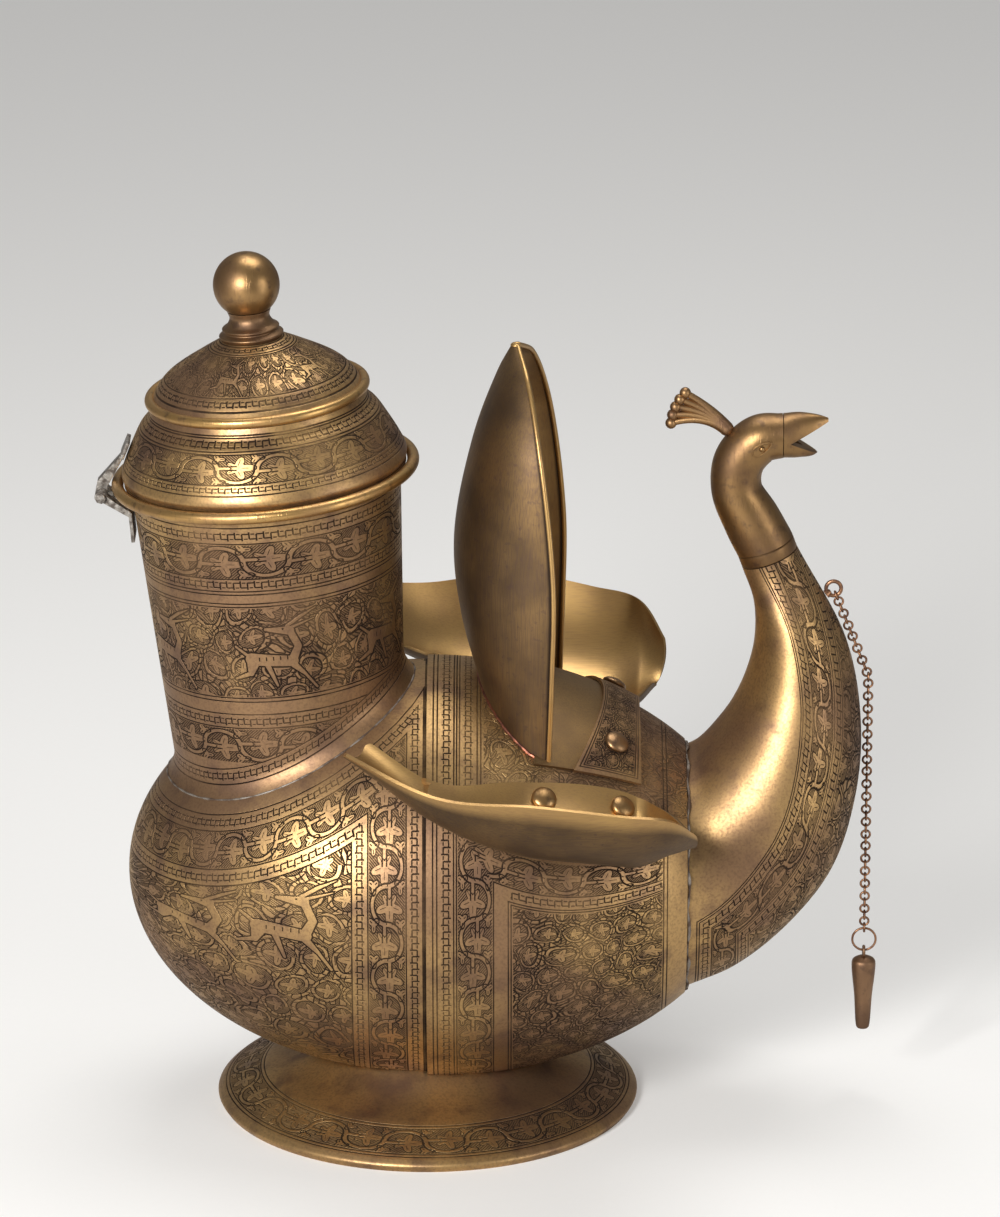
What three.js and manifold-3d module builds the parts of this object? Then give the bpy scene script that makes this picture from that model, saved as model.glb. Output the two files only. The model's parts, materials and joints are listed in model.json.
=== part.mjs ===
// A brass ewer in the shape of a peacock: the body is the bird, a lidded tower on its back is the filler,
// and the neck, head and open beak are the spout. Millimetres, +Z up, the foot stands on Z = 0.
// +X points to the beak and +Y to the bird's left. The bird's own frame starts where the level axis of the
// body meets the upright seam between its two half shells: u forward, y left, h up.

import * as THREE from 'three';
import { mergeVertices } from 'three/addons/utils/BufferGeometryUtils.js';
import Module from 'manifold-3d';

const wasm = await Module();
wasm.setup();

const { degToRad, lerp } = THREE.MathUtils;
const at3 = (x, y, z) => new THREE.Vector3(x, y, z);

// Sheet brass and fits
const WALL = 1.4; // thickness of the sheet
const FIT = 0.3; // gap between pieces that touch
const SEAM_X = -25; // puts the middle of the ewer's length over the origin

// Body
const BODY_RADIUS = 83;
const REAR_LENGTH = 120; // from the seam to the rounded rear end
const FRONT_LENGTH = 129; // half axis of the front shell's ellipse
const SEAM_LAP = 6; // how far the rear shell reaches into the front one
const NECK_SEAM = 103; // from the body's seam to the neck's seam
const BODY_LIFT = 15; // the body's lowest point above the ground
const AXIS_HEIGHT = BODY_RADIUS + BODY_LIFT; // height of the body's level axis

// Foot
const FOOT_CENTRE = -0.4; // ahead of the seam
const FOOT_RADIUS = BODY_RADIUS + 2;
const FOOT_RIM_HEIGHT = 5;
const FOOT_BAND_WIDTH = 18; // sloping engraved band
const FOOT_BAND_RISE = 8;
const FOOT_COLLAR_RADIUS = 38; // where the foot meets the body

// Filler tower, in a frame of its own whose origin is the middle of the mouth
const MOUTH_BACK = 0.5317 * REAR_LENGTH; // behind the seam, over the middle of the rear shell
const MOUTH_HEIGHT = BODY_RADIUS + 85; // above the body's axis
const TOWER_LEAN = degToRad(5);
const TOWER_FOOT_RADIUS = 0.3958 * REAR_LENGTH; // leaves a margin of the rear shell all round
const TOWER_TOP_RADIUS = TOWER_FOOT_RADIUS + 5.9;
const TOWER_FLARE = 3.6; // how far the foot flares out
const TOWER_FLARE_HEIGHT = 9;
const MOUTH_LIP = 2.5; // the seat for the lid stands out from the wall
const MOUTH_LIP_HEIGHT = 4.5;
const RIM_WIRE = 2.4; // radius of the bead round the mouth
const RIM_DROP = 1.5; // the bead's middle lies below the seat

// Lid
const LID_SKIRT_DEPTH = 6;
const LID_SKIRT_PLAY = 1.2;
const DOME_SWELL = 0.9; // how far the dome swells beyond its base
const DOME_HEIGHT = 29.5;
const CAP_BEAD_RADIUS = 2.1;
const CAP_RADIUS = 42.4; // to the middle of the cap's bead
const CAP_HEIGHT = 22;
const CAP_TOP_RADIUS = 12;
const STEM_HEIGHT = 11;
const STEM_TOP_RADIUS = 8.6;
const STEM_TAIL_RADIUS = 3.5;
const BALL_RADIUS = 13.1;

// Hinge
const KNUCKLE_RADIUS = 2.6;
const PIN_RADIUS = 1.1;
const HINGE_WIDTH = 16;
const HINGE_MIDDLE = 5; // width of the lid's knuckle
const HINGE_CLEARANCE = 1.6; // between the mouth's bead and the knuckles
const HINGE_DROP = 4.5; // the pin lies below the lid's seat
const LEAF_LENGTH = 12;

// Neck: front and back points of its sections, from the middle of the neck's seam
const NECK_PLUG = 5; // how far the neck reaches into the body
const NECK_SECTIONS = [
  { front: [21, -39.5], back: [5, 51.5] },
  { front: [43, -21], back: [11.5, 59] },
  { front: [59.5, 1.7], back: [18, 68.5] },
  { front: [68, 30], back: [23.5, 81] },
  { front: [70, 60], back: [27, 96] },
  { front: [64, 95], back: [26.5, 113] },
  { front: [43.6, 135], back: [21.8, 126.8] },
];
const FERRULE_LENGTH = 5.4;
const FERRULE_WALL = 1.6;

// Head: middle line and radius, from the top of the neck's ferrule
const HEAD_TURN = [
  { u: -5.2, h: 10, radius: 11.4 },
  { u: -11.4, h: 23, radius: 10.1 },
  { u: -10.4, h: 35, radius: 10.1 },
  { u: -2.5, h: 43.6, radius: 9.8 },
  { u: 6.4, h: 45.2, radius: 8.8 },
];
const BEAK_LENGTH = 18;
const BEAK_TIP_RISE = 6.6; // the tip of the upper half, above the middle
const BEAK_LOWER_LENGTH = 13;
const MOUTH_CORNER = 3; // from the beak's root
const SPOUT_BORE_RADIUS = 4;
const CREST_PLACE = 0.7; // share of the way along the head
const CREST_LENGTH = 22;
const CREST_FEATHERS = 5;
const CREST_FEATHER_RADIUS = 1.5;
const CREST_BEAD_RADIUS = 2.3;
const CREST_LOWEST = degToRad(174);
const CREST_HIGHEST = degToRad(138);

// Wings: sections from the tail tip to the front tip. The root lies at an angle round the body from its top
// and stands off it by lift. The sheet leaves the root along the body and turns up through the belly to the
// lip. Their points are forward of the seam, out from the body's side and up from its top.
const WING_SECTIONS = [
  { root: -21, angle: 41.7, lift: 23, drop: 8, belly: [-28, 3, -9], lip: [-34, 9, -0.4] },
  { root: 4, angle: 51, lift: 17, drop: 15, belly: [4.5, 23, -33], lip: [5, 34, -11] },
  { root: 39, angle: 46, lift: 0, drop: 28, belly: [42, 30, -53], lip: [43, 45, -10.4] },
  { root: 82, angle: 45.5, lift: 0, drop: 28, belly: [78, 26, -57], lip: [76, 42, -15.4] },
  { root: 86, angle: 52, lift: 12, drop: 14, belly: [96, 23, -50], lip: [94, 37, -19] },
  { root: 85, angle: 61, lift: 33, drop: 6, belly: [105, 14, -41], lip: [105.5, 20, -32] },
];
// The left wing sits further back than the right one, and is bent up more.
const WING_SET = { right: { side: -1, back: 0, raise: 0 }, left: { side: 1, back: 8, raise: 8 } };
const WING_RIVET_PLACES = { rear: 0.43, front: 0.56 }; // share of the way from tail tip to front tip
const WING_RIVET_REACH = 0.09; // share of the way from root to lip

// Upright plume: sections from root to tip. The spine is the rear fold, the edge the two open lips: forward
// of the seam and up from the body's top.
const PLUME_SECTIONS = [
  { spine: [25, -11], edge: [50, -35], half: 50 },
  { spine: [14, 27], edge: [51.6, 11], half: 48.5 },
  { spine: [11.4, 57], edge: [52, 51], half: 46.5 },
  { spine: [18.5, 96], edge: [46.5, 101], half: 39 },
  { spine: [28, 123], edge: [40.5, 127], half: 20 },
  { spine: [34, 135], edge: [36, 135], half: 1.6 },
];
const PLUME_TWIST = degToRad(3); // its left lip stands a little ahead of the right one
// Patches on the back: forward of the seam, angle to each side of the top, and the rear edge's forward bow
const TONGUE = { from: 42, to: 80, angle: 40, bow: 0 };
const STRAP = { from: 57, to: 83, angle: 41, bow: 12 };
const STRAP_RIVET = { along: 0.5, aside: 0.34 }; // shares of the strap's length and half width

// Rivets
const RIVET_RADIUS = 2;
const RIVET_HEAD_RADIUS = 5;
const RIVET_HEAD_HEIGHT = 2.2;
const RIVET_TAIL_RADIUS = 3.2;
const RIVET_TAIL_HEIGHT = 1.2;
const RIVET_REST = 1; // the head's flat underside above the middle of its curved sheet

// Chain and stopper
const EYE_PLACE = 0.93; // share of the way up the neck
const EYE_RADIUS = 3;
const EYE_WIRE = 0.8;
const EYE_PAD_HEIGHT = 1;
const EYE_PAD_RADIUS = 2;
const LINK_RADIUS = 1.7;
const LINK_WIRE = 0.45;
const LINK_BITE = 0.2; // how deep the links of one run press into each other
const HANGING_RUNS = [15, 11, 15]; // links in each run below the breast
const RING_RADIUS = 4.7;
const RING_WIRE = 0.55;
const PLUG_LENGTH = 31;
const PLUG_TOP_RADIUS = 4.8;
const PLUG_TIP_RADIUS = 2.6;
const PLUG_EYE_RADIUS = 2;
const PLUG_EYE_WIRE = 0.6;

// Facets
const BODY_SIDES = 28;
const TOWER_SIDES = 28;
const NECK_SIDES = 20;
const HEAD_SIDES = 12;
const SMALL_SIDES = 8;
const CURVE_STEPS = 8;
const LINK_STEPS = 8;
const WIRE_SIDES = 4;
const LOOP_STEPS = 16;
const LOOP_SIDES = 6;
const WING_GRID = [16, 8]; // rows and columns of a sheet's faces
const PLUME_GRID = [12, 10];
const PATCH_GRID = [4, 12];
const NECK_STEPS = 12;
const HEAD_STEPS = 10;

// Sizes that follow from the ones above
const FRONT_RADIUS = BODY_RADIUS + FIT + WALL;
const MOUTH_RADIUS = TOWER_TOP_RADIUS + MOUTH_LIP;
const RIM_RADIUS = MOUTH_RADIUS + FIT + RIM_WIRE;
const LID_RADIUS = MOUTH_RADIUS - FIT;
const HINGE_X = -(RIM_RADIUS + RIM_WIRE + HINGE_CLEARANCE + KNUCKLE_RADIUS);
const FACET_SAG = FRONT_RADIUS * (1 - Math.cos(Math.PI / BODY_SIDES)); // flats lie inside the true circle
const LINK_PITCH = 2 * (LINK_RADIUS - LINK_WIRE) + LINK_BITE;

// Colours: darkened engraved brass, rubbed bright edges, brown sheet, and the tinned hinge
const FINISHES = {
  engraved: { color: 0x8a6a3c, roughness: 0.45, metalness: 0.9 },
  bright: { color: 0xb08a45, roughness: 0.32, metalness: 0.95 },
  brown: { color: 0x6b4d2c, roughness: 0.5, metalness: 0.85 },
  copper: { color: 0x8a4f30, roughness: 0.5, metalness: 0.85 },
  tinned: { color: 0x8f8b82, roughness: 0.5, metalness: 0.8 },
};

// Solids

const MERGE_DISTANCE = 1e-4;

// Any closed surface with its shared corners merged, collapsed triangles dropped and faces turned outwards.
function closed(geometry) {
  const loose = geometry.index ? geometry.toNonIndexed() : geometry.clone();
  loose.deleteAttribute('normal');
  loose.deleteAttribute('uv');
  const merged = mergeVertices(loose, MERGE_DISTANCE);
  const corner = [0, 1, 2].map(() => new THREE.Vector3());
  const triangles = [];
  let sixVolumes = 0;
  for (let i = 0; i < merged.index.count; i += 3) {
    const triangle = [0, 1, 2].map((k) => merged.index.getX(i + k));
    if (new Set(triangle).size < 3) continue;
    triangle.forEach((vertex, k) => corner[k].fromBufferAttribute(merged.attributes.position, vertex));
    sixVolumes += corner[0].dot(corner[1].clone().cross(corner[2]));
    triangles.push(triangle);
  }
  if (sixVolumes < 0) triangles.forEach((triangle) => triangle.reverse());
  merged.setIndex(triangles.flat());
  return merged;
}

function solidOf(geometry) {
  const { attributes, index } = closed(geometry);
  const vertProperties = new Float32Array(attributes.position.array);
  const triVerts = new Uint32Array(index.array);
  return new wasm.Manifold(new wasm.Mesh({ numProp: 3, vertProperties, triVerts }));
}

function geometryOf(solid) {
  const mesh = solid.getMesh();
  const geometry = new THREE.BufferGeometry();
  geometry.setAttribute('position', new THREE.BufferAttribute(mesh.vertProperties, 3));
  geometry.setIndex(new THREE.BufferAttribute(mesh.triVerts, 1));
  return geometry;
}

function join(...pieces) {
  return geometryOf(pieces.map(solidOf).reduce((whole, piece) => whole.add(piece)));
}

function cut(piece, ...tools) {
  return geometryOf(tools.map(solidOf).reduce((rest, tool) => rest.subtract(tool), solidOf(piece)));
}

// A profile of [radius, height] points turned about the Z axis.
function turned(profile, sides) {
  const points = profile.map(([radius, height]) => new THREE.Vector2(radius, height));
  return closed(new THREE.LatheGeometry(points, sides).rotateX(Math.PI / 2));
}

// The same, turned about the level axis of the body.
function turnedLevel(profile, sides) {
  return turned(profile, sides).rotateY(Math.PI / 2);
}

// A closed profile: the given outline, listed upwards, and its inside at the wall's thickness.
function sheetProfile(outline, wall = WALL) {
  const inside = outline.map((point, i) => {
    const before = outline[Math.max(i - 1, 0)];
    const after = outline[Math.min(i + 1, outline.length - 1)];
    const along = new THREE.Vector2(after[0] - before[0], after[1] - before[1]).normalize();
    return [point[0] - along.y * wall, point[1] + along.x * wall];
  });
  return [...outline, ...inside.reverse(), outline[0]];
}

function smooth(points, steps) {
  const curve = new THREE.SplineCurve(points.map(([x, y]) => new THREE.Vector2(x, y)));
  return curve.getPoints(steps).map((point) => [point.x, point.y]);
}

// A sheet between two equal grids of points. A sheet that wraps closes on itself across its rows.
function sheetBetween(face, back, wraps) {
  const rows = face.length;
  const columns = face[0].length;
  const spans = wraps ? columns : columns - 1;
  const far = rows * columns;
  const at = (row, column) => row * columns + (column % columns);
  const index = [];
  const quad = (a, b, c, d) => index.push(a, b, c, a, c, d);
  for (let column = 0; column < spans; column++) {
    for (let row = 0; row < rows - 1; row++) {
      const [a, b] = [at(row, column), at(row, column + 1)];
      const [c, d] = [at(row + 1, column + 1), at(row + 1, column)];
      quad(a, b, c, d);
      quad(far + d, far + c, far + b, far + a);
    }
    const [first, next] = [at(0, column), at(0, column + 1)];
    const [last, after] = [at(rows - 1, column), at(rows - 1, column + 1)];
    quad(first, far + first, far + next, next);
    quad(last, after, far + after, far + last);
  }
  for (let row = 0; row < rows - 1 && !wraps; row++) {
    const [left, leftUp] = [at(row, 0), at(row + 1, 0)];
    const [right, rightUp] = [at(row, columns - 1), at(row + 1, columns - 1)];
    quad(left, leftUp, far + leftUp, far + left);
    quad(right, far + right, far + rightUp, rightUp);
  }
  const geometry = new THREE.BufferGeometry().setFromPoints([...face.flat(), ...back.flat()]);
  geometry.setIndex(index);
  return closed(geometry);
}

// The direction square to a surface given as a function of two shares.
function sheetNormal(surface, s, t) {
  const near = 1e-3;
  const alongS = surface(Math.min(s + near, 1), t).sub(surface(Math.max(s - near, 0), t));
  const alongT = surface(s, Math.min(t + near, 1)).sub(surface(s, Math.max(t - near, 0)));
  return alongS.cross(alongT).normalize();
}

// Both grids of a sheet whose middle surface is a function of two shares, row and column.
function sheetGrids(surface, rows, columns) {
  const face = [];
  const back = [];
  for (let row = 0; row <= rows; row++) {
    const pair = Array.from({ length: columns + 1 }, (_, column) => {
      const [s, t] = [row / rows, column / columns];
      const half = sheetNormal(surface, s, t).multiplyScalar(WALL / 2);
      const middle = surface(s, t);
      return [middle.clone().add(half), middle.sub(half)];
    });
    face.push(pair.map(([point]) => point));
    back.push(pair.map(([, point]) => point));
  }
  return [face, back];
}

function cylinder(radius, from, to, sides = SMALL_SIDES) {
  return turned([[0, from], [radius, from], [radius, to], [0, to]], sides);
}

// Turns a piece made along +Z to point along a direction, and moves it to a place.
function aimed(geometry, place, direction) {
  const turn = new THREE.Quaternion().setFromUnitVectors(at3(0, 0, 1), direction);
  const matrix = new THREE.Matrix4().compose(place, turn, at3(1, 1, 1));
  return geometry.applyMatrix4(matrix);
}

// An outline of [x, z] points pulled out across the jug between two y values.
function slab(outline, from, to) {
  const shape = new THREE.Shape(outline.map(([x, z]) => new THREE.Vector2(x, z)));
  const geometry = new THREE.ExtrudeGeometry(shape, { depth: to - from, bevelEnabled: false });
  return geometry.rotateX(Math.PI / 2).translate(0, to, 0);
}

function ringOf(radius, wire, normal, steps, sides) {
  return aimed(new THREE.TorusGeometry(radius, wire, sides, steps), new THREE.Vector3(), normal);
}

// The groups: the bird, the leaning filler tower and the lid on its hinge

const jug = new THREE.Group();
const bird = new THREE.Group();
bird.position.set(SEAM_X, 0, AXIS_HEIGHT);
jug.add(bird);

const filler = new THREE.Group();
filler.position.set(-MOUTH_BACK, 0, MOUTH_HEIGHT);
filler.rotation.y = -TOWER_LEAN;
filler.updateMatrix();
bird.add(filler);

const lid = new THREE.Group();
lid.position.set(HINGE_X, 0, -HINGE_DROP);
filler.add(lid);

function add(group, name, geometry, finish) {
  geometry.computeVertexNormals();
  const mesh = new THREE.Mesh(geometry, new THREE.MeshStandardMaterial(FINISHES[finish]));
  mesh.name = name;
  group.add(mesh);
  return mesh;
}

function addToLid(name, geometry, finish) {
  return add(lid, name, geometry.translate(-HINGE_X, 0, HINGE_DROP), finish);
}

// Body

function rearArc(length, radius) {
  return Array.from({ length: CURVE_STEPS + 1 }, (_, i) => {
    const angle = (Math.PI / 2) * (i / CURVE_STEPS);
    return [radius * Math.sin(angle), -length * Math.cos(angle)];
  });
}

function frontArc(length, radius) {
  const end = Math.asin(NECK_SEAM / length);
  return Array.from({ length: CURVE_STEPS }, (_, i) => {
    const angle = end * (i / (CURVE_STEPS - 1));
    return [radius * Math.cos(angle), length * Math.sin(angle)];
  });
}

const bodyRadiusAt = (u) => {
  const [length, radius] = u < 0 ? [REAR_LENGTH, BODY_RADIUS] : [FRONT_LENGTH, FRONT_RADIUS];
  return radius * Math.sqrt(1 - (u / length) ** 2);
};

// The outward direction of the body, as its forward part and its part away from the axis.
function bodySlope(u) {
  const [length, radius] = u < 0 ? [REAR_LENGTH, BODY_RADIUS] : [FRONT_LENGTH, FRONT_RADIUS];
  return new THREE.Vector2(u / length ** 2, bodyRadiusAt(u) / radius ** 2).normalize();
}

function bodyNormal(u, angle) {
  const slope = bodySlope(u);
  return at3(slope.x, slope.y * Math.sin(angle), slope.y * Math.cos(angle));
}

// A point over the body: forward of the seam, at an angle from the top towards the left, and at a height.
function overBody(u, angle, above) {
  const radius = bodyRadiusAt(u);
  const foot = at3(u, radius * Math.sin(angle), radius * Math.cos(angle));
  return foot.addScaledVector(bodyNormal(u, angle), above);
}

// The body's filled outside with a gap round it, which trims what stands on it.
function bodyWithGap() {
  const rear = rearArc(REAR_LENGTH + FIT, BODY_RADIUS + FIT);
  const front = frontArc(FRONT_LENGTH + FIT, FRONT_RADIUS + FIT);
  return turnedLevel([...rear, ...front, [0, NECK_SEAM]], BODY_SIDES);
}

function fillerHole() {
  const radius = TOWER_FOOT_RADIUS - 2 * WALL;
  return cylinder(radius, -MOUTH_HEIGHT, 0, TOWER_SIDES).applyMatrix4(filler.matrix);
}

function rearShell() {
  const inside = rearArc(REAR_LENGTH - WALL, BODY_RADIUS - WALL).reverse();
  const lap = [[BODY_RADIUS, SEAM_LAP], [BODY_RADIUS - WALL, SEAM_LAP]];
  return turnedLevel([...rearArc(REAR_LENGTH, BODY_RADIUS), ...lap, ...inside], BODY_SIDES);
}

function frontShell() {
  const outside = frontArc(FRONT_LENGTH, FRONT_RADIUS);
  const inside = frontArc(FRONT_LENGTH - WALL, FRONT_RADIUS - WALL).reverse();
  return turnedLevel([...outside, ...inside, outside[0]], BODY_SIDES);
}

function footRing() {
  const floor = -AXIS_HEIGHT;
  const bandTop = FOOT_RADIUS - FOOT_BAND_WIDTH - RIM_WIRE;
  const rise = floor + FOOT_RIM_HEIGHT + FOOT_BAND_RISE;
  const collarTop = -BODY_RADIUS * Math.sqrt(1 - (FOOT_COLLAR_RADIUS / BODY_RADIUS) ** 2) + 2 * WALL;
  const rim = smooth([
    [FOOT_RADIUS - WALL, floor],
    [FOOT_RADIUS, floor + FOOT_RIM_HEIGHT / 2],
    [FOOT_RADIUS - RIM_WIRE, floor + FOOT_RIM_HEIGHT],
  ], 4);
  const collar = smooth([
    [bandTop, rise],
    [(bandTop + FOOT_COLLAR_RADIUS) / 2, (2 * rise + collarTop) / 3],
    [FOOT_COLLAR_RADIUS, collarTop],
  ], 5);
  const profile = sheetProfile([...rim, ...collar], 1.5 * WALL);
  profile.at(-2)[1] = floor; // the rim stands flat
  return turned(profile, BODY_SIDES).translate(FOOT_CENTRE, 0, 0);
}

// Filler tower

const UNIT_BALL = new THREE.Sphere(new THREE.Vector3(), 1);

// Height in the tower's frame at which a line along its axis meets the body.
function bodyUnderTower(x, y) {
  const shrink = at3(1 / REAR_LENGTH, 1 / BODY_RADIUS, 1 / BODY_RADIUS);
  const start = at3(x, y, 0).applyMatrix4(filler.matrix).multiply(shrink);
  const step = at3(x, y, -1).applyMatrix4(filler.matrix).multiply(shrink).sub(start);
  const perMillimetre = step.length();
  const hit = new THREE.Ray(start, step.normalize()).intersectSphere(UNIT_BALL, new THREE.Vector3());
  return -hit.distanceTo(start) / perMillimetre;
}

function towerWall() {
  const wallRows = 3;
  const flareRows = 3;
  const columns = Array.from({ length: TOWER_SIDES }, (_, i) => {
    const angle = (2 * Math.PI * i) / TOWER_SIDES;
    const [forward, left] = [Math.cos(angle), Math.sin(angle)];
    const place = (radius, height) => at3(radius * forward, radius * left, height);
    const flared = TOWER_FOOT_RADIUS + TOWER_FLARE;
    const ground = bodyUnderTower(flared * forward, flared * left);
    const flareTop = ground + TOWER_FLARE_HEIGHT;
    const stations = [[MOUTH_RADIUS, 0], [MOUTH_RADIUS, -WALL]];
    for (let row = 0; row <= wallRows; row++) {
      const share = row / wallRows;
      const height = lerp(-MOUTH_LIP_HEIGHT, flareTop, share);
      stations.push([lerp(TOWER_TOP_RADIUS, TOWER_FOOT_RADIUS, share), height]);
    }
    for (let row = 1; row <= flareRows; row++) {
      const share = row / flareRows;
      stations.push([TOWER_FOOT_RADIUS + TOWER_FLARE * share ** 2, flareTop - TOWER_FLARE_HEIGHT * share]);
    }
    stations.push([flared, ground - 2 * WALL]);
    const inside = ([radius, height]) => place(Math.min(radius, TOWER_TOP_RADIUS) - WALL, height);
    return { outside: stations.map((station) => place(...station)), inside: stations.map(inside) };
  });
  const rowsOf = (side) => columns[0][side].map((_, row) => columns.map((column) => column[side][row]));
  const wall = sheetBetween(rowsOf('outside'), rowsOf('inside'), true);
  return cut(wall, bodyWithGap().applyMatrix4(filler.matrix.clone().invert()));
}

function beadProfile(radius, height, wire) {
  return Array.from({ length: 9 }, (_, i) => {
    const angle = (2 * Math.PI * i) / 8;
    return [radius + wire * Math.cos(angle), height + wire * Math.sin(angle)];
  });
}

// Lid: heights above the seat

function domeOutline() {
  return smooth([
    [LID_RADIUS, FIT],
    [LID_RADIUS + DOME_SWELL, 0.1 * DOME_HEIGHT],
    [LID_RADIUS - DOME_SWELL, 0.27 * DOME_HEIGHT],
    [lerp(LID_RADIUS, CAP_RADIUS, 0.37), 0.54 * DOME_HEIGHT],
    [lerp(LID_RADIUS, CAP_RADIUS, 0.63), 0.74 * DOME_HEIGHT],
    [lerp(LID_RADIUS, CAP_RADIUS, 0.88), 0.86 * DOME_HEIGHT],
    [CAP_RADIUS, DOME_HEIGHT],
  ], CURVE_STEPS);
}

function lidDome() {
  const outline = domeOutline();
  const [first, ...shell] = sheetProfile(outline);
  shell.splice(-2);
  const skirt = TOWER_TOP_RADIUS - WALL - LID_SKIRT_PLAY;
  const inside = [[skirt - WALL, FIT + WALL], [skirt - WALL, -LID_SKIRT_DEPTH]];
  const outside = [[skirt, -LID_SKIRT_DEPTH], [skirt, FIT]];
  const flange = [LID_RADIUS - WALL, FIT + WALL];
  return turned([first, ...shell, flange, ...inside, ...outside, first], TOWER_SIDES);
}

const CAP_SEAT = DOME_HEIGHT + FIT;
const CAP_TOP = CAP_SEAT + CAP_BEAD_RADIUS + CAP_HEIGHT;

function lidCap() {
  const middle = CAP_SEAT + CAP_BEAD_RADIUS;
  const bead = [-90, -45, 0, 45, 80].map((turn) => {
    const angle = degToRad(turn);
    return [CAP_RADIUS + CAP_BEAD_RADIUS * Math.cos(angle), middle + CAP_BEAD_RADIUS * Math.sin(angle)];
  });
  const cone = smooth([
    [CAP_RADIUS - CAP_BEAD_RADIUS / 2, middle + CAP_BEAD_RADIUS / 2],
    [0.85 * CAP_RADIUS, middle + 0.36 * CAP_HEIGHT],
    [0.5 * CAP_RADIUS, middle + 0.78 * CAP_HEIGHT],
    [CAP_TOP_RADIUS, CAP_TOP],
  ], 6);
  const hole = STEM_TAIL_RADIUS + FIT;
  const inside = cone.map(([radius, height]) => [radius - WALL / 2, height - WALL]).reverse();
  const profile = [...bead, ...cone, [hole, CAP_TOP], [hole, CAP_TOP - WALL], ...inside, bead[0]];
  return turned(profile, TOWER_SIDES);
}

const STEM_FOOT = CAP_TOP + FIT;
const STEM_TOP = STEM_FOOT + STEM_HEIGHT;

function finialStem() {
  const tailEnd = CAP_TOP - WALL - FIT;
  const moulding = [
    [CAP_TOP_RADIUS, STEM_FOOT],
    [CAP_TOP_RADIUS + WALL / 2, STEM_FOOT + 0.12 * STEM_HEIGHT],
    [CAP_TOP_RADIUS - WALL, STEM_FOOT + 0.26 * STEM_HEIGHT],
    [CAP_TOP_RADIUS - WALL / 2, STEM_FOOT + 0.36 * STEM_HEIGHT],
    [STEM_TOP_RADIUS + WALL / 2, STEM_FOOT + 0.5 * STEM_HEIGHT],
    [STEM_TOP_RADIUS - WALL / 2, STEM_FOOT + 0.75 * STEM_HEIGHT],
    [STEM_TOP_RADIUS, STEM_TOP],
  ];
  const tail = [
    [0, tailEnd - RIVET_TAIL_HEIGHT],
    [STEM_TAIL_RADIUS + WALL, tailEnd - RIVET_TAIL_HEIGHT],
    [STEM_TAIL_RADIUS + WALL, tailEnd],
    [STEM_TAIL_RADIUS, tailEnd],
    [STEM_TAIL_RADIUS, STEM_FOOT],
  ];
  return turned([...tail, ...moulding, [0, STEM_TOP]], 2 * SMALL_SIDES);
}

function finialBall() {
  const flat = Math.asin(STEM_TOP_RADIUS / BALL_RADIUS);
  const middle = STEM_TOP + FIT + BALL_RADIUS * Math.cos(flat);
  const steps = 10;
  const arc = Array.from({ length: steps + 1 }, (_, i) => {
    const angle = flat + (Math.PI - flat) * (i / steps);
    return [BALL_RADIUS * Math.sin(angle), middle - BALL_RADIUS * Math.cos(angle)];
  });
  arc[steps][0] = 0;
  return turned([[0, arc[0][1]], ...arc], 2 * SMALL_SIDES);
}

// Hinge: knuckles along Y at the pin, and leaves that lie on the tower and on the dome

const HINGE_PLACE = at3(HINGE_X, 0, -HINGE_DROP);
const ACROSS = at3(0, 1, 0);

function knuckle(from, to) {
  return aimed(cylinder(KNUCKLE_RADIUS, from, to), HINGE_PLACE, ACROSS);
}

function pinHole() {
  const reach = HINGE_WIDTH;
  const hole = cylinder(PIN_RADIUS + FIT, -reach, reach);
  return aimed(hole, HINGE_PLACE, ACROSS);
}

function neckLeaf() {
  const top = -HINGE_DROP - 2 * KNUCKLE_RADIUS - RIM_WIRE;
  const seat = -(TOWER_TOP_RADIUS + FIT);
  const end = top - LEAF_LENGTH;
  const plate = [[seat, top], [seat - WALL, top + WALL], [seat - WALL, end], [seat, end]];
  const arm = [
    [HINGE_X - KNUCKLE_RADIUS, -HINGE_DROP],
    [seat - WALL, top - WALL],
    [seat, top],
    [HINGE_X + KNUCKLE_RADIUS, -HINGE_DROP],
  ];
  const half = HINGE_WIDTH / 2;
  const inner = HINGE_MIDDLE / 2 + FIT;
  const sides = [[inner, half], [-half, -inner]];
  const arms = sides.flatMap(([from, to]) => [knuckle(from, to), slab(arm, from, to)]);
  return cut(join(slab(plate, -half, half), ...arms), pinHole());
}

function lidLeaf() {
  const [lowest, highest] = [0.22 * DOME_HEIGHT, 0.6 * DOME_HEIGHT];
  const rests = domeOutline().filter(([, height]) => height > lowest && height < highest);
  const [low, high] = [rests[0], rests[rests.length - 1]];
  const out = FIT + WALL / 2; // the dome bows out between the two ends of the flat leaf
  const lowSeat = [-(low[0] + out), low[1]];
  const highSeat = [-(high[0] + out), high[1]];
  const thick = ([x, z]) => [x - WALL, z + WALL / 2];
  const plate = [lowSeat, highSeat, thick(highSeat), thick(lowSeat)];
  const arm = [
    [HINGE_X - KNUCKLE_RADIUS, -HINGE_DROP],
    [HINGE_X + KNUCKLE_RADIUS, -HINGE_DROP],
    [HINGE_X + KNUCKLE_RADIUS, -HINGE_DROP + KNUCKLE_RADIUS],
    lowSeat,
    [lowSeat[0] - 0.4 * WALL, lowSeat[1] + WALL],
    [HINGE_X - 0.4 * KNUCKLE_RADIUS, -HINGE_DROP + 2 * KNUCKLE_RADIUS],
  ];
  const half = HINGE_MIDDLE / 2;
  const wide = HINGE_WIDTH / 2 - WALL;
  return cut(join(slab(plate, -wide, wide), knuckle(-half, half), slab(arm, -half, half)), pinHole());
}

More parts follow.
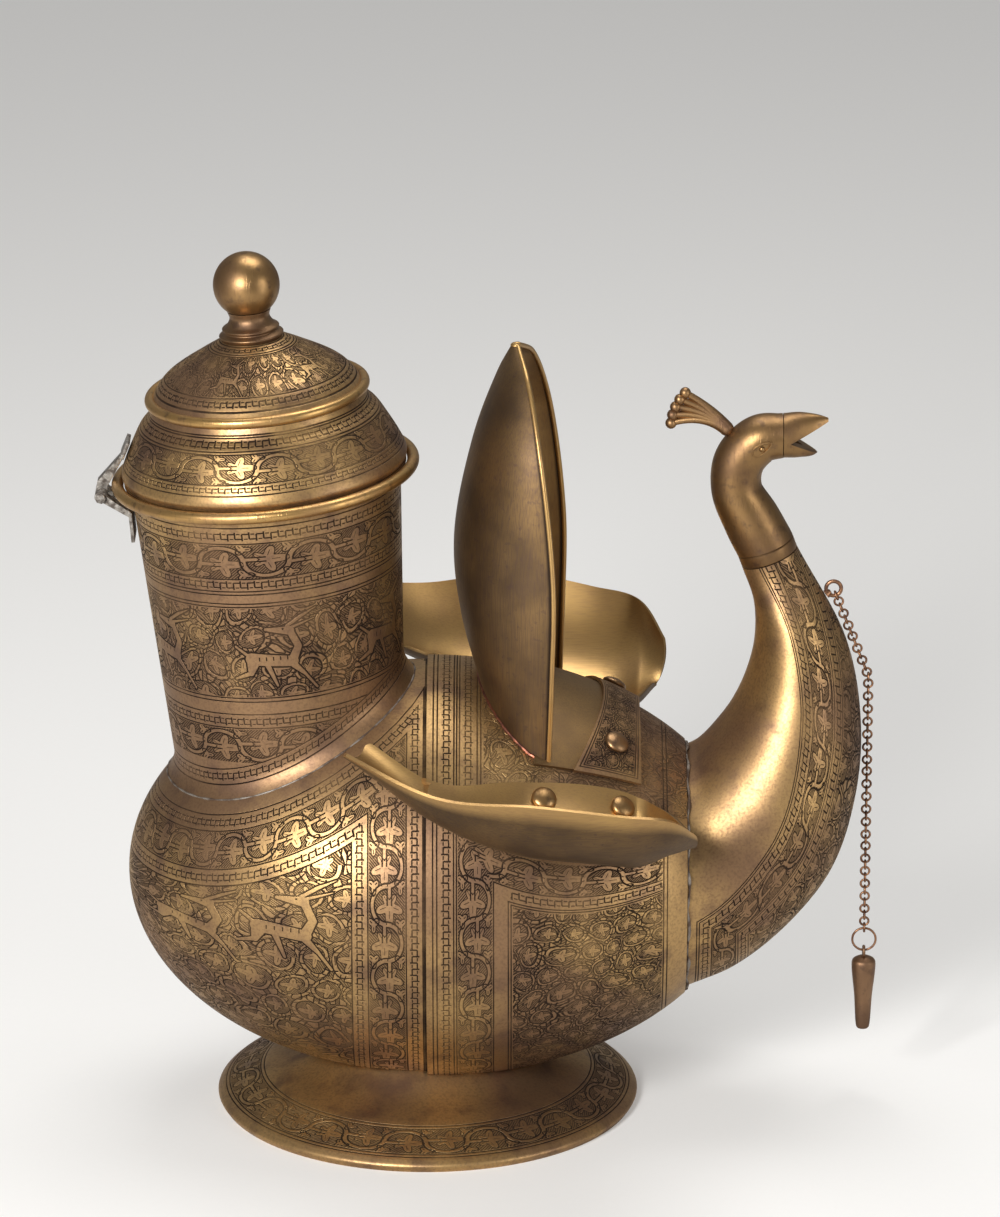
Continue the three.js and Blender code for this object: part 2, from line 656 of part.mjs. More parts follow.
function hingePin() {
  const half = HINGE_WIDTH / 2;
  const head = PIN_RADIUS + FIT + WALL / 2;
  const profile = [
    [0, -half - FIT - WALL],
    [head, -half - FIT - WALL],
    [head, -half - FIT],
    [PIN_RADIUS, -half - FIT],
    [PIN_RADIUS, half + WALL],
    [0, half + WALL],
  ];
  const pin = turned(profile, SMALL_SIDES);
  return aimed(pin, HINGE_PLACE, ACROSS);
}

// Neck and head: tubes bent in the jug's middle plane

// Stations on a bent tube: place, direction and radius at equal shares of its way.
function stationsAlong(points, steps) {
  const curve = new THREE.CatmullRomCurve3(points.map(({ u, h, radius }) => at3(u, h, radius)));
  return Array.from({ length: steps + 1 }, (_, i) => {
    const place = curve.getPoint(i / steps);
    const direction = curve.getTangent(i / steps);
    const along = new THREE.Vector2(direction.x, direction.y).normalize();
    return { at: new THREE.Vector2(place.x, place.y), along, outer: place.z };
  });
}

// Stations between a front and a back line, each of [u, h] points.
function stationsBetween(fronts, backs, steps) {
  const lineOf = (points) => new THREE.CatmullRomCurve3(points.map(([u, h]) => at3(u, h, 0)));
  const [front, back] = [lineOf(fronts), lineOf(backs)];
  return Array.from({ length: steps + 1 }, (_, i) => {
    const [ahead, behind] = [front.getPoint(i / steps), back.getPoint(i / steps)];
    const across = new THREE.Vector2(ahead.x - behind.x, ahead.y - behind.y);
    const at = new THREE.Vector2(ahead.x + behind.x, ahead.y + behind.y).divideScalar(2);
    const outer = across.length() / 2;
    across.normalize();
    return { at, along: new THREE.Vector2(-across.y, across.x), outer };
  });
}

function onward({ at, along }, distance, outer) {
  return { at: at.clone().addScaledVector(along, distance), along, outer };
}

function ringAt({ at, along }, radius, sides) {
  return Array.from({ length: sides }, (_, i) => {
    const angle = (2 * Math.PI * i) / sides;
    const ahead = radius * Math.cos(angle);
    return at3(at.x + along.y * ahead, radius * Math.sin(angle), at.y - along.x * ahead);
  });
}

function tubeShell(stations, sides) {
  const outside = stations.map((station) => ringAt(station, station.outer, sides));
  const inside = stations.map((station) => ringAt(station, station.inner ?? station.outer - WALL, sides));
  return sheetBetween(outside, inside, true);
}

const openingShare = Math.sqrt(1 - (NECK_SEAM / (FRONT_LENGTH - WALL)) ** 2);
const NECK_PLUG_RADIUS = (FRONT_RADIUS - WALL) * openingShare - 2 * FIT;
const neckStart = { front: [FIT, -NECK_PLUG_RADIUS], back: [FIT, NECK_PLUG_RADIUS] };
function neckLine(end) {
  return [neckStart, ...NECK_SECTIONS].map(({ [end]: [u, h] }) => [u + NECK_SEAM, h]);
}
const neckStations = stationsBetween(neckLine('front'), neckLine('back'), NECK_STEPS);
const neckTop = neckStations[neckStations.length - 1];
const SLEEVE_RADIUS = neckTop.outer;
const TENON_RADIUS = SLEEVE_RADIUS - FERRULE_WALL - FIT;

function birdNeck() {
  const bore = TENON_RADIUS - WALL;
  const hollow = (station) => ({ ...station, inner: Math.max(station.outer - WALL, bore) });
  const stations = neckStations.map(hollow);
  stations[stations.length - 1].inner = bore;
  const reach = (FERRULE_LENGTH - FIT) / 2;
  const tenon = [0, reach].map((distance) => onward(neckTop, distance, TENON_RADIUS));
  const plug = onward({ ...neckStations[0], along: new THREE.Vector2(1, 0) }, -NECK_PLUG, NECK_PLUG_RADIUS);
  return tubeShell([plug, ...stations, ...tenon], NECK_SIDES);
}

function neckFerrule() {
  const inner = SLEEVE_RADIUS - FERRULE_WALL;
  const [low, high] = [FIT, FERRULE_LENGTH - FIT];
  const profile = [[inner, low], [SLEEVE_RADIUS, low], [SLEEVE_RADIUS, high], [inner, high], [inner, low]];
  const place = at3(neckTop.at.x, 0, neckTop.at.y);
  const direction = at3(neckTop.along.x, 0, neckTop.along.y);
  return aimed(turned(profile, NECK_SIDES), place, direction);
}

const headStart = onward(neckTop, FERRULE_LENGTH, SLEEVE_RADIUS);
const headLine = [{ u: 0, h: 0, radius: SLEEVE_RADIUS }, ...HEAD_TURN]
  .map(({ u, h, radius }) => ({ u: u + headStart.at.x, h: h + headStart.at.y, radius }));
const headStations = stationsAlong(headLine, HEAD_STEPS);
headStations[0].along = headStart.along;
const beakRoot = headStations[headStations.length - 1];
beakRoot.along = new THREE.Vector2(1, 0);

function birdHead() {
  const bore = TENON_RADIUS - WALL;
  const reach = (FERRULE_LENGTH - FIT) / 2;
  const tenon = [-reach, 0]
    .map((distance) => ({ ...onward(headStart, distance, TENON_RADIUS), inner: bore }));
  const hollow = (station) => ({ ...station, inner: Math.min(station.outer - WALL, bore) });
  return tubeShell([...tenon, ...headStations.map(hollow)], HEAD_SIDES);
}

// The beak grows from the head's open end; a wedge opens the mouth and the spout runs out through it.
function beak() {
  const radius = beakRoot.outer;
  const sections = [
    { ahead: FIT, top: radius, bottom: -radius, half: radius },
    { ahead: 0.36 * BEAK_LENGTH, top: 1.08 * radius, bottom: -radius, half: 0.76 * radius },
    { ahead: BEAK_LOWER_LENGTH, top: radius, bottom: -0.86 * radius, half: 0.48 * radius },
    { ahead: BEAK_LENGTH, top: BEAK_TIP_RISE + WALL / 2, bottom: 0, half: 0.13 * radius },
  ];
  const rings = sections.map(({ ahead, top, bottom, half }) => {
    const shell = (inset) => Array.from({ length: HEAD_SIDES }, (_, i) => {
      const angle = (2 * Math.PI * i) / HEAD_SIDES;
      const rise = (top + bottom) / 2 + ((top - bottom) / 2 - inset) * Math.cos(angle);
      return at3(ahead, (half - inset) * Math.sin(angle), rise);
    });
    return { outside: shell(0), inside: shell(Math.min(0.9 * half, radius - SPOUT_BORE_RADIUS)) };
  });
  const shell = sheetBetween(rings.map((ring) => ring.outside), rings.map((ring) => ring.inside), true);
  const corner = [MOUTH_CORNER, -WALL];
  const past = 2;
  const upper = [past * BEAK_LENGTH, corner[1] + (BEAK_TIP_RISE - corner[1]) * past];
  const lower = [past * BEAK_LOWER_LENGTH, corner[1] + (-0.82 * radius - corner[1]) * past];
  const mouth = slab([corner, lower, upper], -2 * radius, 2 * radius);
  return cut(shell, mouth).translate(beakRoot.at.x, 0, beakRoot.at.y);
}

// Five feathers fan out from one root at the back of the head and end in beads.
function crest() {
  const root = headStations[Math.round(CREST_PLACE * HEAD_STEPS)];
  const side = new THREE.Vector2(-root.along.y, root.along.x);
  const start = root.at.clone().addScaledVector(side, root.outer + FIT + CREST_FEATHER_RADIUS);
  const polar = (angle, reach) =>
    at3(start.x + reach * Math.cos(angle), 0, start.y + reach * Math.sin(angle));
  const ball = (radius, place) => new THREE.SphereGeometry(radius, 6, 4).translate(...place.toArray());
  const section = new THREE.Shape().absarc(0, 0, CREST_FEATHER_RADIUS, 0, 2 * Math.PI);
  const pieces = Array.from({ length: CREST_FEATHERS }, (_, i) => {
    const share = i / (CREST_FEATHERS - 1);
    const angle = lerp(CREST_HIGHEST, CREST_LOWEST, share);
    const stem = lerp(CREST_HIGHEST, CREST_LOWEST, 0.5 * share);
    const tip = polar(angle, CREST_LENGTH);
    const path = new THREE.QuadraticBezierCurve3(polar(0, 0), polar(stem, CREST_LENGTH / 2), tip);
    const feather = new THREE.ExtrudeGeometry(section, { steps: 3, curveSegments: 3, extrudePath: path });
    return join(feather, ball(CREST_BEAD_RADIUS, tip));
  });
  const boss = ball(CREST_FEATHER_RADIUS * 1.6, polar(0, 0));
  const grownHead = tubeCore(headStations, FIT);
  return cut(join(boss, ...pieces), grownHead);
}

// A bent tube as one filled solid with a gap round it.
function tubeCore(stations, gap) {
  const outside = stations.map((station) => ringAt(station, station.outer + gap, HEAD_SIDES));
  const inside = stations.map((station) => ringAt(station, WALL / 10, HEAD_SIDES));
  return sheetBetween(outside, inside, true);
}

// Wings

const curveOver = (sections, pick) =>
  new THREE.CatmullRomCurve3(sections.map((section) => at3(...pick(section))));
const wingCurve = (pick) => curveOver(WING_SECTIONS, pick);
const wingRoots = wingCurve(({ root, angle, lift }) => [root, angle, lift]);
const wingDrops = wingCurve(({ drop }) => [drop, 0, 0]);
const wingBellies = wingCurve(({ belly }) => belly);
const wingLips = wingCurve(({ lip }) => lip);

// The middle surface of a wing's sheet.
function wingSurface({ side, back, raise }) {
  return (s, t) => {
    const root = wingRoots.getPoint(s);
    const angle = degToRad(root.y);
    const start = overBody(root.x - back, angle, FIT + WALL / 2 + Math.max(root.z, 0));
    const downhill = at3(0, Math.cos(angle), -Math.sin(angle));
    const leave = start.clone().addScaledVector(downhill, wingDrops.getPoint(s).x);
    const belly = wingBellies.getPoint(s).add(at3(-back, BODY_RADIUS, BODY_RADIUS + raise / 2));
    const lip = wingLips.getPoint(s).add(at3(-back, BODY_RADIUS, BODY_RADIUS + raise));
    const point = new THREE.CubicBezierCurve3(start, leave, belly, lip).getPoint(t);
    return point.setY(side * point.y);
  };
}

function wing(set) {
  const [face, back] = sheetGrids(wingSurface(set), ...WING_GRID);
  return sheetBetween(face, back, false);
}

// Rivets: a domed head, a shank through the sheets and a flat tail inside the body

// Where a rivet sits on a sheet over the body: the sheet's middle, its outward direction and the depth from
// there to the flat underside of the body's wall.
function rivetSeat(surface, s, t) {
  const place = surface(s, t);
  const direction = sheetNormal(surface, s, t);
  const outward = bodyNormal(place.x, Math.atan2(place.y, place.z));
  const square = direction.dot(outward);
  if (square < 0) direction.negate();
  const above = (Math.hypot(place.y, place.z) - bodyRadiusAt(place.x)) * bodySlope(place.x).y;
  const tilt = RIVET_TAIL_RADIUS * Math.sqrt(1 - square ** 2);
  return { place, direction, depth: above + WALL + FACET_SAG + tilt };
}

function rivet({ place, direction, depth }) {
  const head = WALL / 2 + RIVET_REST;
  const tail = -(depth + FIT);
  const profile = [
    [0, tail - RIVET_TAIL_HEIGHT],
    [RIVET_TAIL_RADIUS, tail - RIVET_TAIL_HEIGHT],
    [RIVET_TAIL_RADIUS, tail],
    [RIVET_RADIUS, tail],
    [RIVET_RADIUS, head],
    [RIVET_HEAD_RADIUS, head],
    [0.9 * RIVET_HEAD_RADIUS, head + 0.5 * RIVET_HEAD_HEIGHT],
    [0.6 * RIVET_HEAD_RADIUS, head + 0.85 * RIVET_HEAD_HEIGHT],
    [0, head + RIVET_HEAD_HEIGHT],
  ];
  return aimed(turned(profile, SMALL_SIDES), place, direction);
}

function rivetHole({ place, direction, depth }) {
  const reach = depth + 3 * WALL;
  return aimed(cylinder(RIVET_RADIUS + FIT, -reach, reach), place, direction);
}

// Plume, with its tongue and the strap over it

const plumeCurve = (pick) => curveOver(PLUME_SECTIONS, pick);
const plumeSpine = plumeCurve(({ spine, half }) => [...spine, half]);
const plumeEdge = plumeCurve(({ edge }) => [...edge, 0]);

function plumePoint(s, t) {
  const spine = plumeSpine.getPoint(s);
  const edge = plumeEdge.getPoint(s);
  const angle = Math.PI * (t - 0.5);
  const depth = Math.cos(angle);
  const u = lerp(edge.x, spine.x, depth);
  const h = lerp(edge.y, spine.y, depth);
  const pivot = PLUME_SECTIONS[0].edge[0];
  const side = Math.max(spine.z, PLUME_SECTIONS.at(-1).half) * Math.sin(angle);
  const turned = new THREE.Vector2(u - pivot, side).rotateAround(new THREE.Vector2(), -PLUME_TWIST);
  return at3(pivot + turned.x, turned.y, h + BODY_RADIUS);
}

// A patch of sheet bent over the back, its underside at a height above the body.
function patchSurface({ from, to, angle, bow }, above) {
  const half = degToRad(angle);
  return (s, t) => {
    const rear = from + bow * (1 - (2 * t - 1) ** 2);
    return overBody(lerp(rear, to, s), lerp(-half, half, t), above + WALL / 2);
  };
}

function backPatch(patch, above) {
  const [face, back] = sheetGrids(patchSurface(patch, above), ...PATCH_GRID);
  return sheetBetween(face, back, false);
}

function backPlume() {
  const [face, back] = sheetGrids(plumePoint, ...PLUME_GRID);
  const leaf = cut(sheetBetween(face, back, false), bodyWithGap());
  return join(leaf, backPatch(TONGUE, FIT));
}

const STRAP_ABOVE = 2 * FIT + WALL;

// Chain: runs of round links, each run swinging on the last link of the one before

// The front line of the neck in fine steps, its outward direction, and points at a distance from it.
const FRONT_STEPS = 100;
const frontLine = stationsBetween(neckLine('front'), neckLine('back'), FRONT_STEPS)
  .map(({ at, along, outer }) => new THREE.Vector2(along.y, -along.x).multiplyScalar(outer).add(at));
function frontOutward(step) {
  const along = frontLine[step + 1].clone().sub(frontLine[step - 1]).normalize();
  return new THREE.Vector2(along.y, -along.x);
}
const awayFromFront = (step, distance) => frontOutward(step).multiplyScalar(distance).add(frontLine[step]);

const EYE_STEP = Math.round(EYE_PLACE * FRONT_STEPS);
const eyeMiddle = awayFromFront(EYE_STEP, FIT + EYE_PAD_HEIGHT + EYE_RADIUS);

function chainEye() {
  const foot = awayFromFront(EYE_STEP, FIT);
  const out = frontOutward(EYE_STEP);
  const pad = cylinder(EYE_PAD_RADIUS, 0, EYE_PAD_HEIGHT + EYE_WIRE / 2, SMALL_SIDES);
  const loop = ringOf(EYE_RADIUS, EYE_WIRE, ACROSS, LOOP_STEPS, LOOP_SIDES);
  loop.translate(eyeMiddle.x, 0, eyeMiddle.y);
  return join(loop, aimed(pad, at3(foot.x, 0, foot.y), at3(out.x, 0, out.y)));
}

// The chain leans out from the eye, clear of the neck's front, in two equal runs of an odd number of links,
// and hangs straight down from where it is clear of the breast.
const linkRoom = LINK_RADIUS + LINK_WIRE + FIT;
const breast = Array.from({ length: EYE_STEP - 5 }, (_, i) => awayFromFront(i + 1, linkRoom));
const angleTo = (point) => Math.atan2(point.x - eyeMiddle.x, eyeMiddle.y - point.y);
const steepest = Math.max(...breast.map(angleTo));
const leanOut = Math.max(...breast.map((point) => point.x)) - eyeMiddle.x;
const IN_EYE = EYE_RADIUS - EYE_WIRE - LINK_WIRE - FIT + LINK_RADIUS; // from the eye's middle to a link's
const IN_LINK = LINK_RADIUS - 2 * LINK_WIRE - FIT; // from a run's pivot to its first link's middle
const runLength = (first, links) => first + (links - 1) * LINK_PITCH + LINK_RADIUS;
let leanLinks = 1;
let leanLength = 0;
for (let links = 1; leanLength * Math.sin(steepest) <= leanOut; links += 2) {
  leanLinks = Math.max(links - 2, 1);
  leanLength = runLength(IN_EYE, links) + runLength(IN_LINK, links);
}
const leanAngle = Math.asin(leanOut / (runLength(IN_EYE, leanLinks) + runLength(IN_LINK, leanLinks)));
const lean = at3(Math.sin(leanAngle), 0, -Math.cos(leanAngle));
const down = at3(0, 0, -1);

// One run of links along a direction, from its pivot; links stand crosswise in turn.
function chainRun(links, direction, firstNormal, firstMiddle) {
  const otherNormal = new THREE.Vector3().crossVectors(direction, firstNormal);
  return join(...Array.from({ length: links }, (_, i) => {
    const middle = direction.clone().multiplyScalar(firstMiddle + i * LINK_PITCH);
    const link = ringOf(LINK_RADIUS, LINK_WIRE, i % 2 ? otherNormal : firstNormal, LINK_STEPS, WIRE_SIDES);
    return link.translate(...middle.toArray());
  }));
}

function addChain() {
  const runs = [[leanLinks, lean], [leanLinks, lean], ...HANGING_RUNS.map((links) => [links, down])];
  const pivot = at3(eyeMiddle.x, 0, eyeMiddle.y);
  runs.forEach(([links, direction], i) => {
    const firstNormal = i % 2 ? ACROSS : new THREE.Vector3().crossVectors(direction, ACROSS);
    const first = i === 0 ? IN_EYE : IN_LINK;
    const run = add(bird, `chain_run_${i + 1}`, chainRun(links, direction, firstNormal, first), 'copper');
    run.position.copy(pivot);
    pivot.addScaledVector(direction, runLength(first, links));
  });
  const ringMiddle = -(RING_RADIUS - RING_WIRE - LINK_WIRE - FIT);
  const ring = ringOf(RING_RADIUS, RING_WIRE, ACROSS, LOOP_STEPS, LOOP_SIDES).translate(0, 0, ringMiddle);
  add(bird, 'stopper_ring', ring, 'copper').position.copy(pivot);
  pivot.z += ringMiddle - RING_RADIUS;
  add(bird, 'stopper', stopper(), 'copper').position.copy(pivot);
}

function stopper() {
  const eyeMiddleHeight = -(PLUG_EYE_RADIUS - PLUG_EYE_WIRE - RING_WIRE - FIT);
  const top = eyeMiddleHeight - PLUG_EYE_RADIUS;
  const loop = ringOf(PLUG_EYE_RADIUS, PLUG_EYE_WIRE, at3(1, 0, 0), LOOP_STEPS, LOOP_SIDES);
  loop.translate(0, 0, eyeMiddleHeight);
  const chamfer = PLUG_TOP_RADIUS / 2;
  const plug = turned([
    [0, top - PLUG_LENGTH],
    [PLUG_TIP_RADIUS, top - PLUG_LENGTH],
    [PLUG_TOP_RADIUS, top - chamfer],
    [PLUG_TOP_RADIUS - chamfer / 2, top],
    [0, top],
  ], SMALL_SIDES);
  return join(loop, plug);
}

// Assembly

const wingSeats = {};
const strapSeats = {};
for (const [name, set] of Object.entries(WING_SET)) {
  for (const [place, share] of Object.entries(WING_RIVET_PLACES)) {
    wingSeats[`${name}_${place}`] = rivetSeat(wingSurface(set), share, WING_RIVET_REACH);
  }
  const across = 0.5 + set.side * STRAP_RIVET.aside;
  strapSeats[name] = rivetSeat(patchSurface(STRAP, STRAP_ABOVE), STRAP_RIVET.along, across);
}
const wingHoles = Object.values(wingSeats).map(rivetHole);
const strapHoles = Object.values(strapSeats).map(rivetHole);

add(bird, 'foot', cut(footRing(), bodyWithGap()), 'engraved');
add(bird, 'body_rear', cut(rearShell(), fillerHole()), 'engraved');
add(bird, 'body_front', cut(frontShell(), ...wingHoles, ...strapHoles), 'engraved');

add(filler, 'filler_neck', towerWall(), 'engraved');
add(filler, 'filler_rim', turned(beadProfile(RIM_RADIUS, -RIM_DROP, RIM_WIRE), TOWER_SIDES), 'bright');
add(filler, 'hinge_neck_leaf', neckLeaf(), 'tinned');
add(filler, 'hinge_pin', hingePin(), 'tinned');
addToLid('hinge_lid_leaf', lidLeaf(), 'tinned');
addToLid('lid_dome', lidDome(), 'engraved');
addToLid('lid_cap', lidCap(), 'engraved');
addToLid('finial_stem', finialStem(), 'brown');
addToLid('finial_ball', finialBall(), 'bright');

add(bird, 'bird_neck', birdNeck(), 'engraved');
add(bird, 'neck_ferrule', neckFerrule(), 'bright');
add(bird, 'bird_head', birdHead(), 'bright');
add(bird, 'beak', beak(), 'bright');
add(bird, 'crest', crest(), 'copper');

for (const [name, set] of Object.entries(WING_SET)) {
  add(bird, `wing_${name}`, cut(wing(set), ...wingHoles), 'brown');
}
add(bird, 'back_plume', cut(backPlume(), ...strapHoles), 'brown');
add(bird, 'plume_strap', cut(backPatch(STRAP, STRAP_ABOVE), ...strapHoles), 'engraved');
for (const [name, seat] of Object.entries(wingSeats)) {
  add(bird, `wing_rivet_${name}`, rivet(seat), 'bright');
}
for (const [name, seat] of Object.entries(strapSeats)) {
  add(bird, `plume_rivet_${name}`, rivet(seat), 'bright');
}

add(bird, 'chain_eye', chainEye(), 'copper');
addChain();

export default jug;
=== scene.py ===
"""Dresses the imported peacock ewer: brass shells, engraved bands, sheet wings, chain and a plain studio."""

import json
import math

import bmesh
import bpy
import numpy as np
from mathutils import Matrix, Vector


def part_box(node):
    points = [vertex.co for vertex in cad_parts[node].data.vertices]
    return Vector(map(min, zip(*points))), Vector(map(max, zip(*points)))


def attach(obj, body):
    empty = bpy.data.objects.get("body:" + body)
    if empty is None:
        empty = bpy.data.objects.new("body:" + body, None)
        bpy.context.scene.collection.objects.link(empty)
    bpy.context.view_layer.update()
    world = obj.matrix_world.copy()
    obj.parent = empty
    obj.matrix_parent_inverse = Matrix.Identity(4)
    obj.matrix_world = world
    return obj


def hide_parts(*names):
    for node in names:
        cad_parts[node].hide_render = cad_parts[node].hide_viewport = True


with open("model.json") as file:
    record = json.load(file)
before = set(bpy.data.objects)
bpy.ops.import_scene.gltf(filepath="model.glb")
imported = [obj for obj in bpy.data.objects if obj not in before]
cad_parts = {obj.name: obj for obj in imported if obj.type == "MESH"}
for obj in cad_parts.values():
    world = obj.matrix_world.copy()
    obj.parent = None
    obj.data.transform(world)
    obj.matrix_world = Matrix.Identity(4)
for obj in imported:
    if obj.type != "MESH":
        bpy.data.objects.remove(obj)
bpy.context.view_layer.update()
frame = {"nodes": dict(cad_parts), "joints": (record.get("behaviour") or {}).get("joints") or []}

# Sizes in millimetres, as in the part's source
MM = 0.001
WALL = 1.4
FIT = 0.3
SEAM_X = -25.0
BODY_RADIUS = 83.0
REAR_LENGTH = 120.0
FRONT_LENGTH = 129.0
SEAM_LAP = 6.0
NECK_SEAM = 103.0
AXIS_HEIGHT = BODY_RADIUS + 15.0
FRONT_RADIUS = BODY_RADIUS + FIT + WALL
FOOT_CENTRE = -0.4
FOOT_RADIUS = BODY_RADIUS + 2.0
FOOT_RIM_HEIGHT = 5.0
FOOT_BAND_WIDTH = 18.0
FOOT_BAND_RISE = 8.0
FOOT_COLLAR_RADIUS = 38.0
FOOT_WALL = 1.5 * WALL
MOUTH_BACK = 0.5317 * REAR_LENGTH
MOUTH_HEIGHT = BODY_RADIUS + 85.0
TOWER_LEAN = math.radians(5)
TOWER_FOOT_RADIUS = 0.3958 * REAR_LENGTH
TOWER_TOP_RADIUS = TOWER_FOOT_RADIUS + 5.9
TOWER_FLARE = 3.6
TOWER_FLARE_HEIGHT = 9.0
MOUTH_LIP_HEIGHT = 4.5
MOUTH_RADIUS = TOWER_TOP_RADIUS + 2.5
RIM_WIRE = 2.4
RIM_DROP = 1.5
RIM_RADIUS = MOUTH_RADIUS + FIT + RIM_WIRE
LID_RADIUS = MOUTH_RADIUS - FIT
LID_SKIRT_DEPTH = 6.0
LID_SKIRT_PLAY = 1.2
DOME_SWELL = 0.9
DOME_HEIGHT = 29.5
HINGE_EDGE = 0.35
CAP_BEAD = 2.1
CAP_RADIUS = 42.4
CAP_HEIGHT = 22.0
CAP_TOP_RADIUS = 12.0
CAP_HOLE = 3.0
CAP_SEAT = DOME_HEIGHT + FIT
CAP_TOP = CAP_SEAT + CAP_BEAD + CAP_HEIGHT
STEM_FOOT = CAP_TOP + FIT
STEM_HEIGHT = 11.0
STEM_TOP = STEM_FOOT + STEM_HEIGHT
STEM_TOP_RADIUS = 8.6
BALL_RADIUS = 13.1
NECK_PLUG = 5.0
NECK_FRONTS = [(21, -39.5), (43, -21), (59.5, 1.7), (68, 30), (70, 60), (64, 95), (43.6, 135)]
NECK_BACKS = [(5, 51.5), (11.5, 59), (18, 68.5), (23.5, 81), (27, 96), (26.5, 113), (21.8, 126.8)]
NECK_OPENING = math.sqrt(1 - (NECK_SEAM / (FRONT_LENGTH - WALL)) ** 2)
NECK_ROOT_RADIUS = (FRONT_RADIUS - WALL) * NECK_OPENING - 2 * FIT
FERRULE_LENGTH = 5.4
FERRULE_WALL = 1.6
HEAD_TURN = [(-5.2, 10, 11.4), (-11.4, 23, 10.1), (-10.4, 35, 10.1), (-2.5, 43.6, 9.8), (6.4, 45.2, 8.8)]
HEAD_BORE_INSET = 3.3
EYE_SHARE = 0.81  # of the way along the head
CARVED_EYE = (4.3, 1.9, -1.2)  # half length, half height, rise above the head's middle
CARVED_EYE_WIRE = 0.48
PUPIL_RADIUS = 1.25
BEAK_LENGTH = 18.0
BEAK_LOWER_LENGTH = 13.0
BEAK_TIP_RISE = 6.6
MOUTH_CORNER = 3.0
SPOUT_BORE = 4.0
CREST_LENGTH = 22.0
CREST_FEATHERS = 5
CREST_WIRE = 1.5
CREST_BEAD = 2.3
CREST_PLACE = 0.7
CREST_ANGLES = (math.radians(138), math.radians(174))
CREST_ARCH = math.radians(14)
# Wing sections: root along the body, angle, lift, drop; then belly and lip from the body's side and top
WING_SECTIONS = [
    (-21, 41.7, 23, 8, (-28, 3, -9), (-34, 9, -0.4)),
    (4, 51, 17, 15, (4.5, 23, -33), (5, 34, -11)),
    (39, 46, 0, 28, (42, 30, -53), (43, 45, -10.4)),
    (82, 45.5, 0, 28, (78, 26, -57), (76, 42, -15.4)),
    (86, 52, 12, 14, (96, 23, -50), (94, 37, -19)),
    (85, 61, 33, 6, (105, 14, -41), (105.5, 20, -32)),
]
WING_SETS = {"right": (-1, 0, 0), "left": (1, 8, 8)}  # side, how far back, how far the lip is raised
WING_RIVETS = (0.43, 0.56)
WING_RIVET_REACH = 0.09
# Plume sections: spine and lips (forward of the seam, above the body's top) and half width
PLUME_SECTIONS = [
    (25, -11, 50, -35, 50),
    (14, 27, 51.6, 11, 48.5),
    (11.4, 57, 52, 51, 46.5),
    (18.5, 96, 46.5, 101, 39),
    (28, 123, 40.5, 127, 20),
    (34, 135, 36, 135, 1.6),
]
PLUME_TWIST = math.radians(3)
PLUME_GILDING = 0.4
PLUME_LIP_SHADE = ((0, 0), (0.006, 1), (0.011, 1), (0.018, 0))  # share across, and strength of the painted shade beside the lip wire
PLUME_INNER = 0.034
TONGUE_GILDING = 0.25
LIP_WIRE = 1.05
TONGUE = (42, 80, 40, 0)  # from, to, angle to each side, bow of the rear edge
STRAP = (57, 83, 41, 12)
STRAP_RIVET_ASIDE = 0.34
RIVET_HEAD_RADIUS = 5.0
RIVET_HEAD_HEIGHT = 2.2
RIVET_REST = 1.0
SOLDER_PROUD = 1.1
EYE_RADIUS = 3.0
EYE_WIRE = 0.8
EYE_STALK_INSET = (1.6, 1.4)  # forward and up from the eye's lowest corner
EYE_STALK_RADII = (1.9, 0.9)
CHAIN_RUNS = 5
LINK_RADIUS = 1.7
LINK_WIRE = 0.45
LINK_PITCH = 2 * (LINK_RADIUS - LINK_WIRE) + 0.2
RING_RADIUS = 4.7
RING_WIRE = 0.55
RING_SLIM = 0.46  # round wire that clears the links at the ends of its swing
PLUG_LENGTH = 31.0
PLUG_TOP_RADIUS = 4.8
PLUG_TIP_RADIUS = 2.6
PLUG_EYE_RADIUS = 2.0
PLUG_EYE_WIRE = 0.6

# Engraved bands in millimetres, each counted from the edge that it follows
LINE = 0.24  # half width of a cut line
KEY = (4.6, 5.6)  # height and length of a running key
REAR_PLAIN = 5.0  # smooth metal round the tower's flare
REAR_RULES = (1.2, 7.8, 22.8, 29.2)
REAR_KEYS = (2.2, 23.8)
REAR_VINE_MIDDLE = 15.3
REAR_VINE = (6.9, 31.0)  # half height and length of a wave
REAR_VINE_EDGES = (8.3, 22.3)
REAR_COUNTS = (76, 15)  # keys and waves round the tower
REAR_BORDER = 29.5
REAR_DEER = ((55, 126), (93, 132))  # forward places and places round from the top
REAR_DEER_SPLIT = 75.0
REAR_DEER_UNIT = 7.4
REAR_CELL = 15.0
SEAM_SHADE = 0.9
FRONT_RULES = (2.6, 4.2, 10.8, 11.9, 93.5, 95.0)
FRONT_KEY = (4.8, 5.6)
FRONT_KEY_START = 5.4
FRONT_EDGE = 6.0  # where the bands on the sides begin, and where they end
FRONT_END = 93.0
FRONT_CROWN = (62.0, 96.0, 0.006)  # the arch over them: its crown, how far round that is, its fall
FRONT_VINE_MIDDLE = 13.2
FRONT_VINE = (6.6, 31.0)
FRONT_VINE_EDGES = (6.4, 19.9)
FRONT_FRAME = (20.4, 26.2, 27.3)
FRONT_FRAME_KEY = 21.0
FRONT_FRAME_KEY_FROM = 33.0
FRONT_PANEL = 28.0
FRONT_CELL = 10.5
SADDLE_EDGE = 72.0  # round from the top
SADDLE_RULES = (13.0, 20.0, 21.4)
SADDLE_KEY_START = 14.0
SADDLE_PANEL = 22.5
SADDLE_CELL = 12.0
SADDLE_WEAR = 0.75
FOOT_RULES = (66.2, 67.6, 80.2, 81.6)
FOOT_VINE_MIDDLE = 73.9
FOOT_VINE = (5.9, 33.0)
